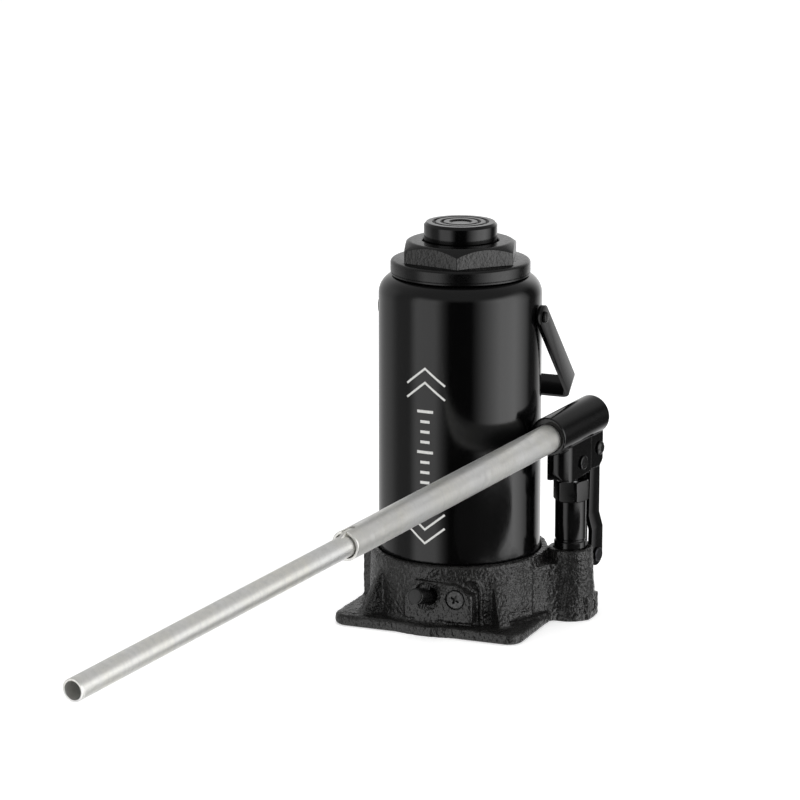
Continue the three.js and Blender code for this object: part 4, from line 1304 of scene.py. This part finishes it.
def studio_world(stage):
    """Makes the studio's surround: soft panels round the object and white behind it."""
    world = bpy.data.worlds.new("studio_surround")
    world.use_nodes = True
    nodes, links = world.node_tree.nodes, world.node_tree.links
    direction = nodes.new("ShaderNodeTexCoord").outputs["Generated"]
    split = nodes.new("ShaderNodeSeparateXYZ")
    links.new(direction, split.inputs[0])

    def maths(operation, first, second):
        made = nodes.new("ShaderNodeMath")
        made.operation = operation
        for socket, value in zip(made.inputs, (first, second)):
            if isinstance(value, bpy.types.NodeSocket):
                links.new(value, socket)
            else:
                socket.default_value = value
        return made.outputs[0]

    azimuth = maths("ARCTAN2", split.outputs["X"], maths("MULTIPLY", split.outputs["Y"], -1))
    ramp = nodes.new("ShaderNodeValToRGB")
    links.new(maths("ADD", maths("DIVIDE", azimuth, TURN), 0.5), ramp.inputs["Fac"])
    stops = ramp.color_ramp.elements
    for i, (degrees, level) in enumerate(SURROUND):
        place = degrees / 360 + 0.5
        stop = stops[i] if i < 2 else stops.new(place)
        stop.position = place
        stop.color = (level / BRIGHTEST,) * 3 + (1,)
    panels = maths("MULTIPLY", ramp.outputs["Color"], BRIGHTEST)
    overhead = nodes.new("ShaderNodeMapRange")
    overhead.interpolation_type = "SMOOTHSTEP"
    for name, value in (("From Min", 0.3), ("From Max", 0.65), ("To Min", 0.0), ("To Max", 1.0)):
        overhead.inputs[name].default_value = value
    links.new(split.outputs["Z"], overhead.inputs["Value"])
    mix = nodes.new("ShaderNodeMix")
    links.new(overhead.outputs["Result"], mix.inputs["Factor"])
    links.new(panels, mix.inputs["A"])
    mix.inputs["B"].default_value = 0.28
    soft = nodes["Background"]
    links.new(mix.outputs["Result"], soft.inputs["Color"])
    soft.inputs["Strength"].default_value = stage.surround
    white = nodes.new("ShaderNodeBackground")
    white.inputs["Color"].default_value = (1.0, 1.0, 1.0, 1.0)
    chosen = nodes.new("ShaderNodeMixShader")
    links.new(nodes.new("ShaderNodeLightPath").outputs["Is Camera Ray"], chosen.inputs["Fac"])
    links.new(soft.outputs[0], chosen.inputs[1])
    links.new(white.outputs[0], chosen.inputs[2])
    links.new(chosen.outputs[0], nodes["World Output"].inputs["Surface"])
    return world


def floor_finish(stage):
    """Pale, matt and faintly uneven, lit enough to meet the white behind it."""
    finish = Finish("pale_floor")
    finish.set(specular_ior_level=0.0, roughness=1.0, emission_color=(1.0, 1.0, 1.0, 1.0),
               emission_strength=0.48)
    finish.link("Base Color", finish.blend(finish.noise(3, 2), stage.floor, scaled(stage.floor, 1.02)))
    return finish.material


# Where the dark sheet lies that paints dark reflections on the glossy sides, as rounded patches: (end,
# radius, other end, radius).
REFLECTION_SHADE_PATCHES = (((190, -240), 125, (330, -60), 95), ((142, -50), 36, (150, 12), 36))


def reflection_shade_finish():
    """A dark sheet beside the object, seen only in reflections: it paints dark reflections on the glossy
    sides. It is slightly uneven.
    """
    finish = Finish("painted_reflection_shade")
    finish.set(specular_ior_level=0.0, roughness=0.9)
    finish.link("Base Color", finish.blend(finish.noise(8, 2), (0.10, 0.10, 0.10), (0.13, 0.13, 0.13)))
    return finish.material


class JACK_OT_stage(bpy.types.Operator):
    """Builds the pale floor, the studio surround, the overhead light and the camera"""

    bl_idname = "jack.stage"
    bl_label = "Stage"

    def execute(self, context):
        stage = context.scene.jack_stage
        radius = stage.floor_radius / MM
        floor = lathe("floor", [(0, -3), (radius, -3), (radius, 0), (0, 0)], 96)
        floor.data.materials.append(floor_finish(stage))
        floor.visible_glossy = False
        reflection_shade_sheet = joined(*[prism("painted_reflection_shade", belt(*patch), -1.5, 0.2) for patch in REFLECTION_SHADE_PATCHES])
        reflection_shade_sheet.data.materials.append(reflection_shade_finish())
        # Hidden from the camera, diffuse and shadow rays, so the sheet only shows as a painted dark
        # reflection.
        for ray in ("camera", "diffuse", "shadow", "transmission"):
            setattr(reflection_shade_sheet, f"visible_{ray}", False)
        context.scene.world = studio_world(stage)
        context.scene.view_settings.view_transform = "Standard"
        lamp = bpy.data.lights.new("overhead_softbox", "AREA")
        lamp.shape = "DISK"
        lamp.size = 2.6
        lamp.energy = 26
        overhead = bpy.data.objects.new("overhead_softbox", lamp)
        overhead.location = (0.0, -0.2, 2.4)
        overhead.visible_glossy = False
        context.scene.collection.objects.link(overhead)
        lens = bpy.data.cameras.new("camera")
        lens.lens = stage.lens
        lens.sensor_width = 36
        camera = bpy.data.objects.new("camera", lens)
        camera.location = stage.camera_place
        camera.rotation_euler = (QUARTER - stage.camera_pitch, 0, stage.camera_yaw)
        context.scene.collection.objects.link(camera)
        context.scene.camera = camera
        return {"FINISHED"}


# ------------------------------------------------------------------ sidebar and registration

GROUPS = {
    "jack_base": JackBaseSettings,
    "jack_tank": JackTankSettings,
    "jack_linkage": JackLinkageSettings,
    "jack_handle": JackHandleSettings,
    "jack_bail": JackBailSettings,
    "jack_finish": JackFinishSettings,
    "jack_stage": JackStageSettings,
}
OPERATORS = (
    JACK_OT_base_casting, JACK_OT_reservoir_tank, JACK_OT_tank_marks, JACK_OT_top_nut, JACK_OT_ram,
    JACK_OT_saddle, JACK_OT_pump, JACK_OT_check_valves, JACK_OT_link, JACK_OT_handle_socket,
    JACK_OT_handle, JACK_OT_release_valve, JACK_OT_overload_valve, JACK_OT_bail, JACK_OT_stage,
)


class JACK_PT_builder(bpy.types.Panel):
    """Lists the settings and the pieces of the bottle jack"""

    bl_idname = "JACK_PT_builder"
    bl_label = "Bottle Jack"
    bl_space_type = "VIEW_3D"
    bl_region_type = "UI"
    bl_category = "Bottle Jack"

    def draw(self, context):
        for name, group in GROUPS.items():
            box = self.layout.box()
            box.label(text=group.__doc__)
            for setting in group.__annotations__:
                box.prop(getattr(context.scene, name), setting)
        for operator in OPERATORS:
            self.layout.operator(operator.bl_idname)


def register():
    """Registers the settings, the operators and the panel."""
    for name, group in GROUPS.items():
        bpy.utils.register_class(group)
        setattr(bpy.types.Scene, name, PointerProperty(type=group))
    for made in (*OPERATORS, JACK_PT_builder):
        bpy.utils.register_class(made)


def unregister():
    """Takes everything out again."""
    for made in (JACK_PT_builder, *reversed(OPERATORS)):
        bpy.utils.unregister_class(made)
    for name, group in reversed(GROUPS.items()):
        delattr(bpy.types.Scene, name)
        bpy.utils.unregister_class(group)


def main():
    """Builds every piece and the stage."""
    register()
    for operator in OPERATORS:
        getattr(bpy.ops.jack, operator.bl_idname.split(".")[1])()


if __name__ == "__main__":
    main()
